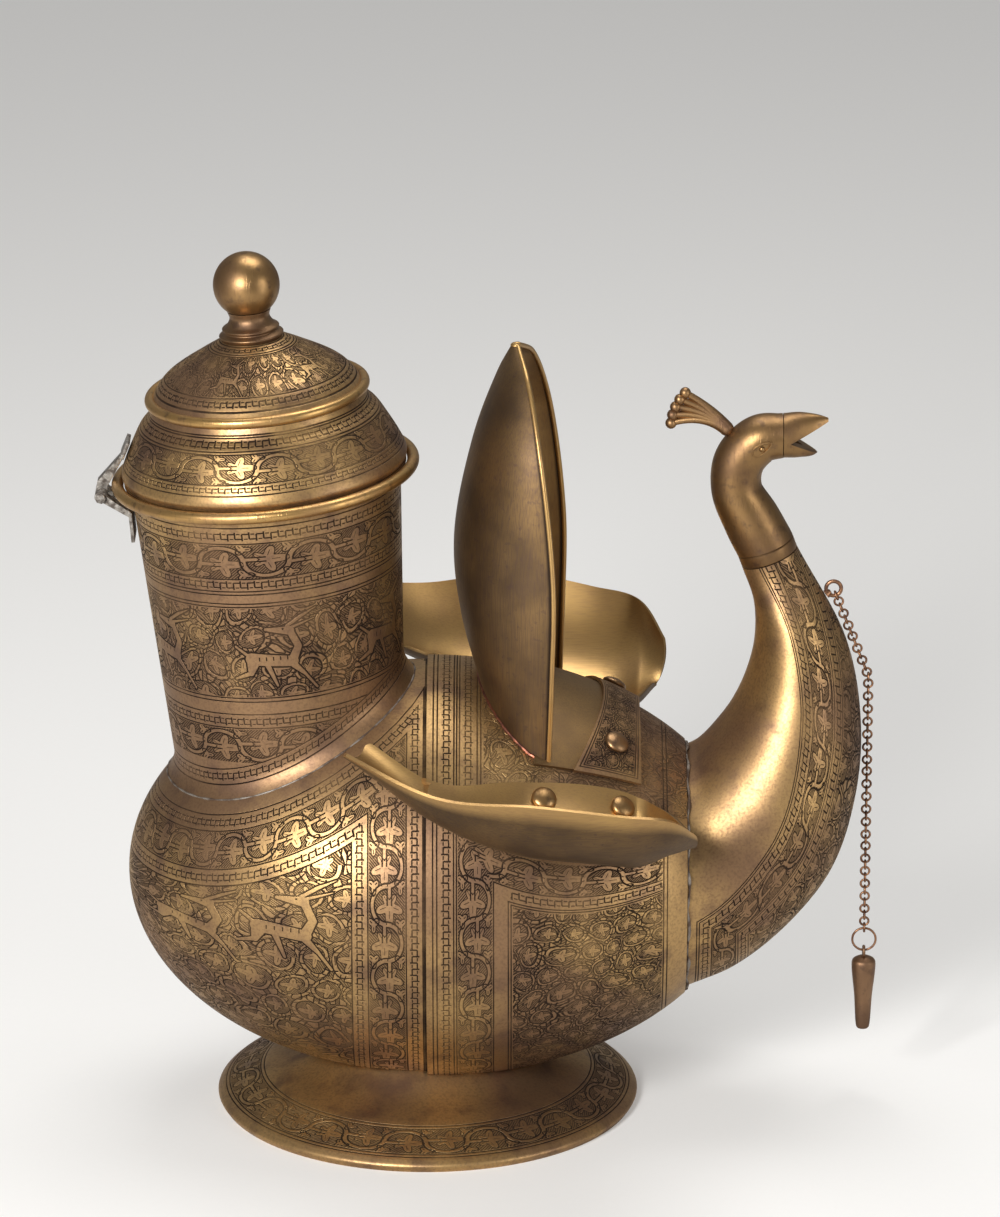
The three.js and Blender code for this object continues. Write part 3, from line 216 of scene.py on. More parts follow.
FOOT_VINE_EDGES = (68.0, 79.8)
FOOT_WAVES = 14
TOWER_GIRTH = 314.0
TOWER_CLEAR = 12.2  # above the flare's own bands
TOWER_COUNTS = (58, 9)
TOWER_RULES = (7.4, 14.1, 28.8, 34, 35.4, 39.2, 40.6, 79.2, 80.8, 86.2, 92.1)
TOWER_KEYS = ((8.6, 4.6, 0), (29.0, 4.4, 0.2), (87.0, 4.6, 0))  # start, then the band's edges from there
TOWER_VINES = ((21.6, 7.0, 0.0), (99.7, 7.1, 0.3))  # middle, half height of the band, shift of the waves
TOWER_VINE = (7.0, 35.0)
TOWER_FRIEZE = (41.2, 60.0, 78.6)  # its upper edge, middle and lower edge
TOWER_DEER = (6, 6.3, 24, 13.0)  # deer, their unit, tendrils round, size of a tendril
FLARE_RULES = (5.4, 11.8)
FLARE_KEY = 11.0
DOME_RULES = (6.4, 10.4, 20.9, 21.9, 26.3, 27.2)
DOME_KEY = (3.6, 5.6)
DOME_KEYS = ((7.0, 1.2, 64), (22.3, 1.0, 52))  # start, stretch, count
DOME_VINE_MIDDLE = 15.6
DOME_VINE = (6.4, 33.0)
DOME_VINE_EDGES = (10.6, 20.7)
DOME_WAVES = 10
SLOPE = 1.25  # length along a slope of the lid for a length across it
CAP_RULES = (12.6, 16.4, 17.4, 35.8, 39.6)
CAP_KEY = (2.6, 5.0)
CAP_KEYS = ((36.4, 46), (13.2, 20))  # start, count
CAP_FRIEZE = (17.8, 26.6, 35.4)
CAP_DEER = (5, 4.1, 26, 12.0)
NECK_PLAIN = 4.0
NECK_START = ((0, 0.35, 0.7, 1), (100, 92, 80, 66))  # up the neck, degrees from its back
NECK_RULES = (0, 1.1, 6.6, 17.6, 18.7, 23.8)
NECK_KEY = (4.7, 5.4)
NECK_KEYS = ((1.5, 4.7), (19.0, 4.6))  # start and height of the band
NECK_VINE_MIDDLE = 12.1
NECK_VINE = (5.2, 29.0)
NECK_VINE_EDGES = (7.0, 17.3)
NECK_PANEL = 24.6
NECK_CELL = 11.0
STRAP_REACH = 61.0
STRAP_RULES = (1.4, 2.6)
STRAP_PANEL = 3.2
STRAP_CELL = 9.0

# Fineness of the meshes
TURN_SIDES = 144
SMALL_SIDES = 40
WIRE_SIDES = 10
LINK_SIDES = 24
FINIAL_SIDES = 96
NECK_SIDES = 96
HEAD_SIDES = 64
SHARP = math.radians(38)

# Frames: the bird from the body's seam, and the leaning filler from the middle of its mouth
BIRD = Matrix.Translation((SEAM_X, 0, AXIS_HEIGHT))
FILLER = BIRD @ Matrix.Translation((-MOUTH_BACK, 0, MOUTH_HEIGHT)) @ Matrix.Rotation(-TOWER_LEAN, 4, "Y")
ROW = Matrix.Identity(4)
ACROSS = np.array([0, 1, 0])

# Studio, in metres
FLOOR_HALF = 7.0  # metres
PAPER, PAPER_GRAIN = (0.66, 0.65, 0.63, 1), (0.55, 0.54, 0.52, 1)
PAPER_GLOW = (0.25, 0.247, 0.242, 1)
SKY, SKY_SEEN = (0.19, 0.19, 0.19, 1), (0.66, 0.65, 0.635, 1)
BLACK = (0, 0, 0, 1)
LAMPS = {  # place, aim, size in metres, power in watts
    "key": ((-0.75, -1.5, 0.9), (-0.02, 0, 0.15), (0.5, 0.6), 38),
    "fill": ((1.3, -0.8, 0.5), (0.02, 0, 0.15), (0.5, 1.0), 6),
    "top": ((0.1, 0.35, 1.5), (0, 0, 0.1), (0.9, 0.7), 10),
}
CAMERA_PITCH = math.radians(19)
CAMERA_DISTANCE = 3.0
CAMERA_TARGET = Vector((0.0039, 0, 0.207))
CAMERA_LENS = 272  # millimetres on a sensor 36 wide
CAMERA_SENSOR = 36
CAMERA_REACH = 20


def placed(points, place):
    """Points carried from a frame into the row's frame."""
    turn = np.array(place)
    return np.asarray(points, float) @ turn[:3, :3].T + turn[:3, 3]


def through(points, shares):
    """Points on a smooth curve through the given ones, at shares of the way."""
    knots = np.asarray(points, float)
    last = len(knots) - 1
    knots = np.vstack([2 * knots[0] - knots[1], knots, 2 * knots[-1] - knots[-2]])
    way = np.clip(np.asarray(shares, float), 0, 1) * last
    step = np.minimum(way.astype(int), last - 1)
    w = (way - step)[..., None]
    a, b, c, d = (knots[step + i] for i in range(4))

    def gap(m, n):
        return np.maximum(np.sum((n - m) ** 2, -1, keepdims=True) ** 0.25, 1e-4)

    ab, bc, cd = gap(a, b), gap(b, c), gap(c, d)
    leave = bc * ((b - a) / ab - (c - a) / (ab + bc) + (c - b) / bc)
    arrive = bc * ((c - b) / bc - (d - b) / (bc + cd) + (d - c) / cd)
    return b + w * (leave + w * (3 * (c - b) - 2 * leave - arrive + w * (2 * (b - c) + leave + arrive)))


def smooth(points, steps):
    return through(points, np.linspace(0, 1, steps + 1))


# Meshes from grids of points

def quads(rows, columns, rows_close=False, columns_close=False):
    row, column = np.meshgrid(np.arange(rows if rows_close else rows - 1),
                              np.arange(columns if columns_close else columns - 1), indexing="ij")
    row_next, column_next = (row + 1) % rows, (column + 1) % columns
    corners = [row * columns + column, row * columns + column_next,
               row_next * columns + column_next, row_next * columns + column]
    return np.stack(corners, -1).reshape(-1, 4)


def pipe(outside, inside):
    """A tube's wall: rows along it, columns round it."""
    grid = np.concatenate([outside, inside[::-1]])
    return grid.reshape(-1, 3), quads(*grid.shape[:2], True, True)


def leaf(face, back):
    """A sheet with open edges between two grids."""
    grid = np.concatenate([face, back[:, ::-1]], axis=1)
    rows, columns = grid.shape[:2]
    half = np.arange(columns // 2 - 1)
    ends = [np.stack([half, half + 1, columns - 2 - half, columns - 1 - half], -1) + row * columns
            for row in (0, rows - 1)]
    return grid.reshape(-1, 3), np.concatenate([quads(rows, columns, False, True), *ends])


def turned(profile, sides=TURN_SIDES, closes=False):
    """A profile of (radius, height) points turned about Z. A profile that closes is the section of a ring."""
    radius, height = np.asarray(profile, float).T[:, :, None]
    angle = 2 * math.pi * np.arange(sides) / sides
    grid = np.stack([radius * np.cos(angle), radius * np.sin(angle), height + 0 * angle], -1)
    return grid.reshape(-1, 3), quads(len(profile), sides, closes, True)


def swept(path, radii, sides=WIRE_SIDES, closes=False):
    """A round wire along a path, with a radius at each point."""
    path = np.asarray(path, float)
    radii = np.broadcast_to(radii, len(path))[:, None, None]
    ahead = np.roll(path, -1, 0) - np.roll(path, 1, 0) if closes else np.gradient(path, axis=0)
    ahead /= np.linalg.norm(ahead, axis=1, keepdims=True)
    side = np.cross(ahead, [0.31, 0.93, 0.18])
    for row in range(1, len(side)):
        side[row] = side[row - 1] - ahead[row] * (side[row - 1] @ ahead[row])
    side /= np.linalg.norm(side, axis=1, keepdims=True)
    other = np.cross(ahead, side)
    angle = 2 * math.pi * np.arange(sides)[:, None] / sides
    grid = path[:, None] + radii * (side[:, None] * np.cos(angle) + other[:, None] * np.sin(angle))
    points, faces = grid.reshape(-1, 3), quads(len(path), sides, closes, True)
    if closes:
        return points, faces
    tips = np.stack([path[0], path[-1]])
    first, last = len(points), len(points) + 1
    rim = np.arange(sides)
    near = np.stack([rim, np.full(sides, first), np.roll(rim, -1)], -1)
    far = np.stack([np.roll(rim, -1), np.full(sides, last), rim], -1) + [(len(path) - 1) * sides, 0,
                                                                       (len(path) - 1) * sides]
    return np.vstack([points, tips]), [*faces.tolist(), *near.tolist(), *far.tolist()]


def ball(middle, radius, sides=16):
    angle = np.linspace(0, math.pi, sides // 2 + 1)
    points, faces = turned(np.stack([radius * np.sin(angle), -radius * np.cos(angle)], -1), sides)
    return points + np.asarray(middle, float), faces


def together(*parts):
    """Several meshes as one list of points and faces."""
    points, faces, start = [], [], 0
    for part_points, part_faces in parts:
        points.append(part_points)
        faces += [[corner + start for corner in face] for face in np.asarray(part_faces, object).tolist()]
        start += len(part_points)
    return np.vstack(points), faces


def aimed(mesh, place, direction):
    """A mesh made along +Z, turned to a direction and moved to a place."""
    turn = Vector((0, 0, 1)).rotation_difference(Vector(direction)).to_matrix()
    return mesh[0] @ np.array(turn).T + np.asarray(place, float), mesh[1]


def weld(data):
    """Closes seams and poles and turns the faces outwards."""
    work = bmesh.new()
    work.from_mesh(data)
    bmesh.ops.remove_doubles(work, verts=work.verts, dist=1e-6)
    bmesh.ops.recalc_face_normals(work, faces=work.faces)
    work.to_mesh(data)
    work.free()


def finish_piece(item, finish, body, nodes):
    item.data.materials.clear()
    item.data.materials.append(finish)
    item.data.polygons.foreach_set("use_smooth", [True] * len(item.data.polygons))
    item.data.set_sharp_from_angle(angle=SHARP)
    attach(item, body)
    if nodes:
        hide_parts(*nodes)
    return item


def linked(name, data):
    item = bpy.data.objects.new(name, data)
    bpy.context.scene.collection.objects.link(item)
    return item


def object_of(name, mesh, place=ROW, marks=None):
    """A new object from points and faces. Marks are named values at the points, for its finish to read."""
    points, faces = mesh
    data = bpy.data.meshes.new(name)
    data.from_pydata(placed(points, place) * MM, [], np.asarray(faces, object).tolist())
    for mark, values in (marks or {}).items():
        layer = data.attributes.new(mark, "FLOAT", "POINT")
        layer.data.foreach_set("value", np.asarray(values, np.float32).ravel())
    weld(data)
    return linked(name, data)


def carved(item, *cutters):
    """The object with other objects taken out of it."""
    for cutter in cutters:
        cut = item.modifiers.new("cut", "BOOLEAN")
        cut.object = cutter
        cut.solver = "EXACT"
    settle(item)
    for cutter in cutters:
        bpy.data.objects.remove(cutter)
    return item


def settle(item):
    """Turns the modifiers' result into a plain mesh."""
    shown = item.evaluated_get(bpy.context.evaluated_depsgraph_get())
    data = bpy.data.meshes.new_from_object(shown)
    item.modifiers.clear()
    item.data = data
    return item


# Finishes

class Value:
    """A socket of a finish. Arithmetic on it adds Math nodes."""

    def __init__(self, finish, socket):
        self.finish = finish
        self.socket = socket

    def math(self, operation, *others):
        return self.finish.math(operation, self, *others)

    def __add__(self, other):
        return self.math("ADD", other)

    __radd__ = __add__

    def __sub__(self, other):
        return self.math("SUBTRACT", other)

    def __rsub__(self, other):
        return self.finish.math("SUBTRACT", other, self)

    def __mul__(self, other):
        return self.math("MULTIPLY", other)

    __rmul__ = __mul__

    def __truediv__(self, other):
        return self.math("DIVIDE", other)

    def __rtruediv__(self, other):
        return self.finish.math("DIVIDE", other, self)

    def __neg__(self):
        return self * -1

    def __abs__(self):
        return self.math("ABSOLUTE")

    def __gt__(self, other):
        return self.math("GREATER_THAN", other)

    def __lt__(self, other):
        return self.math("LESS_THAN", other)

    def least(self, other):
        return self.math("MINIMUM", other)

    def most(self, other):
        return self.math("MAXIMUM", other)

    def part(self):
        return self.math("FRACT")

    def whole(self):
        return self.math("FLOOR")

    def sine(self):
        return self.math("SINE")

    def cosine(self):
        return self.math("COSINE")

    def root(self):
        return self.math("SQRT")


class Finish:
    """A material with its nodes. Lengths in it are millimetres."""

    def __init__(self, name, metallic=1.0):
        self.material = bpy.data.materials.new(name)
        self.material.use_nodes = True
        self.tree = self.material.node_tree
        self.tree.nodes.clear()
        self.surface = self.node("ShaderNodeBsdfPrincipled", {}, {"Metallic": metallic})
        self.node("ShaderNodeOutputMaterial", {}, {"Surface": self.surface.outputs["BSDF"]})
        self.coordinates = self.node("ShaderNodeTexCoord").outputs["Object"]

    def node(self, kind, settings=None, inputs=None):
        """Any node: its settings first, then values or links of its sockets."""
        node = self.tree.nodes.new(kind)
        for key, value in (settings or {}).items():
            setattr(node, key, value)
        for key, value in (inputs or {}).items():
            self.feed(node.inputs[key], value)
        return node

    def feed(self, socket, value):
        if isinstance(value, Value):
            value = value.socket
        if isinstance(value, bpy.types.NodeSocket):
            self.tree.links.new(value, socket)
        else:
            socket.default_value = value

    def math(self, operation, *values, clamp=False):
        settings = {"operation": operation, "use_clamp": clamp}
        return Value(self, self.node("ShaderNodeMath", settings, dict(enumerate(values))).outputs[0])

    def vector(self, operation, first, second):
        """A vector from two vectors, or a vector scaled by a value."""
        node = self.node("ShaderNodeVectorMath", {"operation": operation},
                         {0: first, "Scale" if operation == "SCALE" else 1: second})
        return node.outputs["Vector"]

    def dot(self, first, second):
        node = self.node("ShaderNodeVectorMath", {"operation": "DOT_PRODUCT"}, {0: first, 1: second})
        return Value(self, node.outputs["Value"])

    def length(self, vector):
        node = self.node("ShaderNodeVectorMath", {"operation": "LENGTH"}, {0: vector})
        return Value(self, node.outputs["Value"])

    def mark(self, name):
        node = self.node("ShaderNodeAttribute", {"attribute_name": name})
        return Value(self, node.outputs["Fac"])

    def place(self, matrix):
        """The point's x, y and z in a frame, in millimetres."""
        local = self.node("ShaderNodeMapping", {"vector_type": "TEXTURE"},
                          {"Vector": self.coordinates, "Location": matrix.translation * MM,
                           "Rotation": matrix.to_euler(), "Scale": (MM, MM, MM)})
        parts = self.node("ShaderNodeSeparateXYZ", {}, {"Vector": local.outputs[0]})
        return [Value(self, socket) for socket in parts.outputs]

    def ease(self, value, low, high, start=0.0, end=1.0):
        """Goes smoothly from start to end as the value goes from low to high."""
        node = self.node("ShaderNodeMapRange", {"interpolation_type": "SMOOTHSTEP"},
                         {"Value": value, "From Min": low, "From Max": high, "To Min": start, "To Max": end})
        return Value(self, node.outputs["Result"])

    def stroke(self, distance, half, soft=0.1):
        """1 on a line of that half width, 0 off it."""
        return self.ease(distance, half - soft, half + soft, 1.0, 0.0)

    def cloud(self, size, detail=3.0, stretch=(1, 1, 1)):
        """Noise from 0 to 1 with patches of that size."""
        spread = self.node("ShaderNodeMapping", {}, {"Vector": self.coordinates, "Scale": stretch})
        node = self.node("ShaderNodeTexNoise", {}, {"Vector": spread.outputs[0], "Scale": 1 / (size * MM),
                                                   "Detail": detail})
        return Value(self, node.outputs["Fac"])

    def blend(self, share, first, second):
        """A colour between two colours."""
        node = self.node("ShaderNodeMix", {"data_type": "RGBA"})
        by_name = {socket.identifier: socket for socket in node.inputs}
        self.feed(by_name["Factor_Float"], share)
        self.feed(by_name["A_Color"], first)
        self.feed(by_name["B_Color"], second)
        return next(socket for socket in node.outputs if socket.identifier == "Result_Color")

    def pick(self, share, first, second):
        """A value between two values."""
        return share * (second - first) + first

    def cells(self, x, y, size):
        """Distance to the border of irregular cells."""
        here = self.node("ShaderNodeCombineXYZ", {}, {"X": x, "Y": y}).outputs[0]
        node = self.node("ShaderNodeTexVoronoi", {"voronoi_dimensions": "2D", "feature": "DISTANCE_TO_EDGE"},
                         {"Vector": here, "Scale": 1 / size, "Randomness": 0.75})
        return Value(self, node.outputs["Distance"]) * size

    def relief(self, height, depth, strength=1.0):
        """Bumps the surface by a height in millimetres."""
        node = self.node("ShaderNodeBump", {},
                         {"Height": height, "Distance": depth * MM, "Strength": strength})
        self.feed(self.surface.inputs["Normal"], node.outputs[0])

    def show(self, **sockets):
        for name, value in sockets.items():
            self.feed(self.surface.inputs[name.replace("_", " ")], value)
        return self.material


# Engraving: each pattern gives 1 where the metal is cut and dark

def between(value, low, high):
    return (value > low) * (value < high)


def rules(f, value, *places):
    """Lines at the given places."""
    nearest = abs(value - places[0])
    for place in places[1:]:
        nearest = nearest.least(abs(value - place))
    return f.stroke(nearest, LINE)


def key_fret(f, along, across, tall, cell):
    """A running key of stepped lines with hooks. Along counts keys, across is up from the band's edge."""
    x = along.part()
    late = x > 0.5
    rail = f.stroke(abs(across - tall * (0.28 + 0.44 * late)), LINE)
    inner = f.stroke(abs(x - 0.5) * cell, 1.2 * LINE) * between(across, 0.1 * tall, 0.72 * tall)
    outer = f.stroke((0.5 - abs(x - 0.5)) * cell, 1.2 * LINE) * between(across, 0.28 * tall, 0.9 * tall)
    hook = f.stroke(abs(across - tall * (0.72 - 0.44 * late)), 0.8 * LINE)
    hook = hook * (abs(abs(x - 0.5) - 0.24) < 0.13)
    return rail.most(inner).most(outer).most(hook)


def total(values):
    first, *others = values
    return sum(others, first)


def strip(along, across, top, bottom=0):
    """A band's mask and its along and across values."""
    return between(across, bottom, top), along, across


def banded(f, draw, size, bands):
    """One drawing for several bands, each given by its mask and its along and across values."""
    cover = total(mask for mask, _, _ in bands)
    along = total(mask * value for mask, value, _ in bands)
    across = total(mask * value for mask, _, value in bands)
    return draw(f, along, across, *size) * cover


def lobed_leaf(f, x, y, size, lobes, lean=0.24):
    """Signed distance to the outline of a leaf that points along x from its stalk, and its ribs."""
    radius = (x * x + y * y).root()
    angle = f.math("ARCTAN2", y, x)
    reach = (0.74 + 0.26 * (angle * lobes).cosine()) * (1 + lean * angle.cosine())
    ribs = f.stroke(abs((angle * (0.5 * lobes)).sine()) * radius, 0.2)
    ribs = ribs * between(radius, 0.3 * size, 0.74 * size)
    return radius - size * reach, ribs


def hatching(f, x, y, spacing=1.05):
    return f.stroke(f.math("PINGPONG", x + y, spacing / 2), 0.2, 0.16)


def foliage(f, stem, width, leaves, hatch):
    """Plain stems and leaves with cut outlines on a hatched ground."""
    outline = f.stroke(abs(stem - width), LINE)
    ground = stem > width
    for edge, ribs in leaves:
        outline = outline.most(f.stroke(abs(edge), LINE)).most(ribs * (edge < 0))
        ground = ground * (edge > 0)
    return outline.most(ground * (0.34 + 0.6 * hatch))


def vine(f, along, across, half, period):
    """A vine with a leaf in each bend, on a hatched ground. Along counts waves, across is from the middle."""
    bend = (along * 2).whole()
    side = f.math("PINGPONG", bend, 1.0) * 2 - 1
    wide, high = period / 4, 0.84 * half
    x = ((along * 2).part() - 0.5) * (period / 2)
    y = across * side
    reach = abs(x) + (y < 0) * (2 * wide - 2 * abs(x))
    stem = abs((reach * reach * (1 / wide ** 2) + y * y * (1 / high ** 2)).root() - 1) * high
    stalk = abs(y + 0.14 * half) + 9 * (x > 0)
    corner_x = ((along * 2 + 0.5).part() - 0.5) * (period / 2)
    corner_y = abs(across) - 0.76 * half
    leaves = [lobed_leaf(f, x * 0.74, y + 0.14 * half, 0.76 * half, 5),
              lobed_leaf(f, corner_x * 0.62, corner_y, 0.34 * half, 3, 0.0)]
    hatch = hatching(f, along * period * 0.8, across)
    return foliage(f, stem.least(stalk), 0.1 * half + 0.16, leaves, hatch)


def tendrils(f, x, y, cell):
    """A field of curling tendrils round leaves, on a hatched ground. Bent a little, as cut by hand."""
    bend_x, bend_y = (f.cloud(1.9 * cell, 1, stretch) - 0.5 for stretch in ((1, 1, 1), (0.9, -1, 1.1)))
    x, y = x + bend_x * (1.1 * cell), y + bend_y * (1.1 * cell)
    row = (y / cell).whole()
    shifted = x / cell + row * 0.5
    flip = f.math("PINGPONG", shifted.whole() + row, 1.0) * 2 - 1
    dx = (shifted.part() - 0.5) * cell
    dy = ((y / cell).part() - 0.5) * cell * flip
    radius = (dx * dx + dy * dy).root()
    share = f.math("ARCTAN2", dy, dx) / (2 * math.pi) + 0.5
    stem = abs(radius - cell * (0.52 - 0.16 * share))
    border = f.cells(x, y, 0.36 * cell)
    small = 0.07 * cell - border + 9 * (radius < 0.4 * cell)
    leaves = [lobed_leaf(f, dx + 0.04 * cell, dy, 0.31 * cell, 5, 0.3), (small, border * 0)]
    return foliage(f, stem, 0.06 * cell, leaves, hatching(f, x * 0.8, y))


# A running deer that looks back over its shoulder: limbs from place to place with their half widths
DEER = [
    ((-1.35, 0.15), (1.2, -0.15), 0.44, 0.38),  # back
    ((1.2, -0.05), (1.62, 0.8), 0.32, 0.25),  # neck
    ((1.62, 0.8), (1.2, 1.8), 0.25, 0.25),
    ((1.15, 1.9), (-0.3, 2.1), 0.32, 0.13),  # head
    ((1.0, 2.2), (1.9, 2.75), 0.13, 0.13),  # antlers
    ((1.9, 2.75), (2.9, 3.2), 0.13, 0.05),
    ((1.3, 2.1), (2.7, 2.5), 0.12, 0.06),
    ((1.25, -0.4), (1.9, -1.1), 0.24, 0.13),  # fore legs
    ((1.9, -1.1), (2.6, -2.1), 0.12, 0.1),
    ((-0.4, -0.3), (0.1, -1.7), 0.2, 0.1),
    ((-1.3, -0.1), (-1.5, -0.8), 0.44, 0.22),  # hind leg
    ((-1.5, -0.8), (-2.5, -1.15), 0.18, 0.1),
    ((-1.6, 0.4), (-2.3, 1.0), 0.13, 0.1),  # tail
]
DEER_EYE = (0.75, 2.05)
DEER_MIDDLE = (0.2, 0.55)


def deer(f, x, y, unit):
    """Outline and inside of a deer, from its middle. Its back is about 2.5 units long."""
    x, y = x / unit + DEER_MIDDLE[0], y / unit + DEER_MIDDLE[1]
    here = f.node("ShaderNodeCombineXYZ", {}, {"X": x, "Y": y}).outputs[0]
    nearest = None
    for begin, end, wide, narrow in DEER:
        reach = Vector((*end, 0)) - Vector((*begin, 0))
        away = f.vector("SUBTRACT", here, (*begin, 0))
        share = f.math("MULTIPLY", f.dot(away, reach / reach.length_squared), 1.0, clamp=True)
        off = f.vector("SUBTRACT", away, f.vector("SCALE", reach, share))
        edge = f.length(off) - (wide + share * (narrow - wide))
        nearest = edge if nearest is None else nearest.least(edge)
    nearest = nearest * unit
    inside = nearest < 0
    outline = f.stroke(abs(nearest - 0.1), 1.2 * LINE)
    eye_x, eye_y = x - DEER_EYE[0], y - DEER_EYE[1]
    marks = f.stroke((eye_x * eye_x + eye_y * eye_y).root() * unit, 0.4)
    ticks = f.stroke(f.math("PINGPONG", x, 0.22) * unit, 0.2) * (abs(y - 0.12) < 0.13) * (abs(x) < 1.1)
    return outline.most(inside * marks.most(ticks)), inside


def polar(f, x, y):
    """Turns about the frame's Z, from -0.5 to 0.5, and the radius."""
    return f.math("ARCTAN2", y, x) / (2 * math.pi), (x * x + y * y).root()


# Colours of the metals
GOLD = (0.54, 0.335, 0.125, 1)
TAN = (0.35, 0.205, 0.098, 1)
GOLD_TAN = (0.53, 0.332, 0.138, 1)
UMBER_TAN = (0.30, 0.177, 0.094, 1)
PLUM_TAN = (0.175, 0.1, 0.068, 1)
UMBER = (0.125, 0.071, 0.046, 1)
PLUM = (0.085, 0.052, 0.042, 1)
SOOT = (0.014, 0.009, 0.007, 1)
# the sheets' outer brown is partly their tarnish and partly painted shade
SHEET_BROWN = (0.185, 0.113, 0.05, 1)
SHEET_DARK = (0.108, 0.067, 0.034, 1)
TIN = (0.36, 0.335, 0.3, 1)
TIN_DARK = (0.12, 0.1, 0.085, 1)
LEAD = (0.27, 0.235, 0.2, 1)
LEAD_DARK = (0.1, 0.066, 0.047, 1)


def engraved(name, pattern):
    """Brass with dark-filled engraving and a brown tarnish that is rubbed away in patches."""
    f = Finish(name, 0.88)
    inside = f.mark("inside")
    cut = pattern(f) * (1 - inside)
    tarnish = f.ease(f.cloud(60, 4), 0.38, 0.62)
    blotch = f.ease(f.cloud(13, 5), 0.48, 0.7)
    fine = f.cloud(1.1, 3)
    metal = f.blend(tarnish, GOLD_TAN, UMBER_TAN)
    metal = f.blend(blotch * 0.6, metal, PLUM_TAN)
    metal = f.blend(f.ease(fine, 0.4, 0.75, 0.0, 0.4), metal, UMBER)
    metal = f.blend(inside * 0.85, metal, PLUM)
    worn = f.ease(f.cloud(26, 3), 0.28, 0.58, 0.6, 1.0)
    depth = cut * worn
    colour = f.blend(depth * 0.95, metal, SOOT)
    f.relief(fine * 0.15 - depth, 0.26, 0.9)
    return f.show(Base_Color=colour, Roughness=0.33 + 0.14 * fine + 0.32 * depth + 0.08 * tarnish)


def bright(name, clean, brown, share=0.75, rough=0.3):
    """Handled brass: clean where it is rubbed, brown in patches, with fine scratches."""
    f = Finish(name, 0.95)
    patches = f.ease(f.cloud(18, 5), 0.4, 0.7)
    fine = f.cloud(0.9, 2)
    scratch = f.ease(f.cloud(0.7, 3, (1, 0.25, 0.12)), 0.56, 0.7)
    colour = f.blend(patches * share, clean, brown)
    colour = f.blend(f.ease(f.cloud(4, 4), 0.56, 0.74) * 0.5, colour, PLUM)
    colour = f.blend(scratch * 0.25, colour, UMBER)
    f.relief(fine + scratch * 0.8, 0.05, 0.6)
    return f.show(Base_Color=colour, Roughness=rough + 0.16 * patches + 0.08 * fine)


def sheet_brass(name, stretch):
    """Hammered sheet: brown with brushed streaks outside, golden along its rubbed lips and inside."""
    f = Finish(name, 0.92)
    gilt = f.mark("gilt")
    streak = f.cloud(0.5, 3, stretch)
    patches = f.ease(f.cloud(24, 4), 0.38, 0.7)
    # brown outer faces: partly the sheet's tarnish, partly painted shade
    brown = f.blend(patches, SHEET_BROWN, SHEET_DARK)
    brown = f.blend(f.ease(streak, 0.4, 0.65) * 0.4, brown, PLUM)
    brown = f.blend(f.ease(f.cloud(2.2, 4), 0.58, 0.7) * 0.45, brown, PLUM)
    gold = f.blend(f.ease(streak, 0.4, 0.75) * 0.35 + patches * 0.4, GOLD, TAN)
    f.relief(streak + 2.5 * f.cloud(9, 2), 0.06, 0.5)
    # painted shade: near black in a thin line beside the plume's lip wire
    colour = f.blend(f.mark("lip_shade") * 0.85, f.blend(gilt, brown, gold), SOOT)
    return f.show(Base_Color=colour, Roughness=0.46 + 0.1 * streak - 0.12 * gilt)


def copper(name, clean, brown):
    """Reddish metal, dark in patches."""
    f = Finish(name, 0.95)
    patches = f.ease(f.cloud(3, 4), 0.35, 0.7)
    colour = f.blend(patches, clean, brown)
    f.relief(f.cloud(0.7, 2), 0.05, 0.6)
    return f.show(Base_Color=colour, Roughness=0.38 + 0.2 * patches)


def tinned(name="tinned_hinge"):
    f = Finish(name, 0.85)
    patches = f.ease(f.cloud(2.4, 4), 0.38, 0.66)
    colour = f.blend(patches, TIN, TIN_DARK)
    f.relief(f.cloud(1.1, 3), 0.2, 0.9)
    return f.show(Base_Color=colour, Roughness=0.46 + 0.2 * patches)


def solder(name="old_solder"):
    f = Finish(name, 0.6)
    patches = f.ease(f.cloud(5, 5), 0.4, 0.62)
    colour = f.blend(patches, LEAD, LEAD_DARK)
    f.relief(f.cloud(0.9, 3), 0.2, 0.9)
    return f.show(Base_Color=colour, Roughness=0.55 + 0.2 * patches)


# Body

def body_radius(u):
    rear = u < 0
    length = np.where(rear, REAR_LENGTH, FRONT_LENGTH)
    radius = np.where(rear, BODY_RADIUS, FRONT_RADIUS)
    return radius * np.sqrt(np.maximum(1 - (u / length) ** 2, 0))


def body_normal(u, angle):
    rear = u < 0
    length = np.where(rear, REAR_LENGTH, FRONT_LENGTH)
    radius = np.where(rear, BODY_RADIUS, FRONT_RADIUS)
    along, away = u / length ** 2, body_radius(u) / radius ** 2
    size = np.hypot(along, away)
    return np.stack([along / size, away / size * np.sin(angle), away / size * np.cos(angle)], -1)


def over_body(u, angle, above):
    """A point over the body: forward of the seam, at an angle from the top to the left, and at a height."""
    u, angle, above = np.broadcast_arrays(np.asarray(u, float), angle, above)
    radius = body_radius(u)
    foot = np.stack([u, radius * np.sin(angle), radius * np.cos(angle)], -1)
    return foot + body_normal(u, angle) * above[..., None]


def inside_mark(outer, total, sides=TURN_SIDES):
    """0 on the first rows of points, 1 on the rest, which line the inside."""
    return np.repeat(np.arange(total) >= outer, sides)


def turned_level(profile):
    """A closed profile of (radius, forward) points turned about the body's level axis."""
    points, faces = turned(profile, TURN_SIDES, True)
    return points[:, [2, 1, 0]], faces


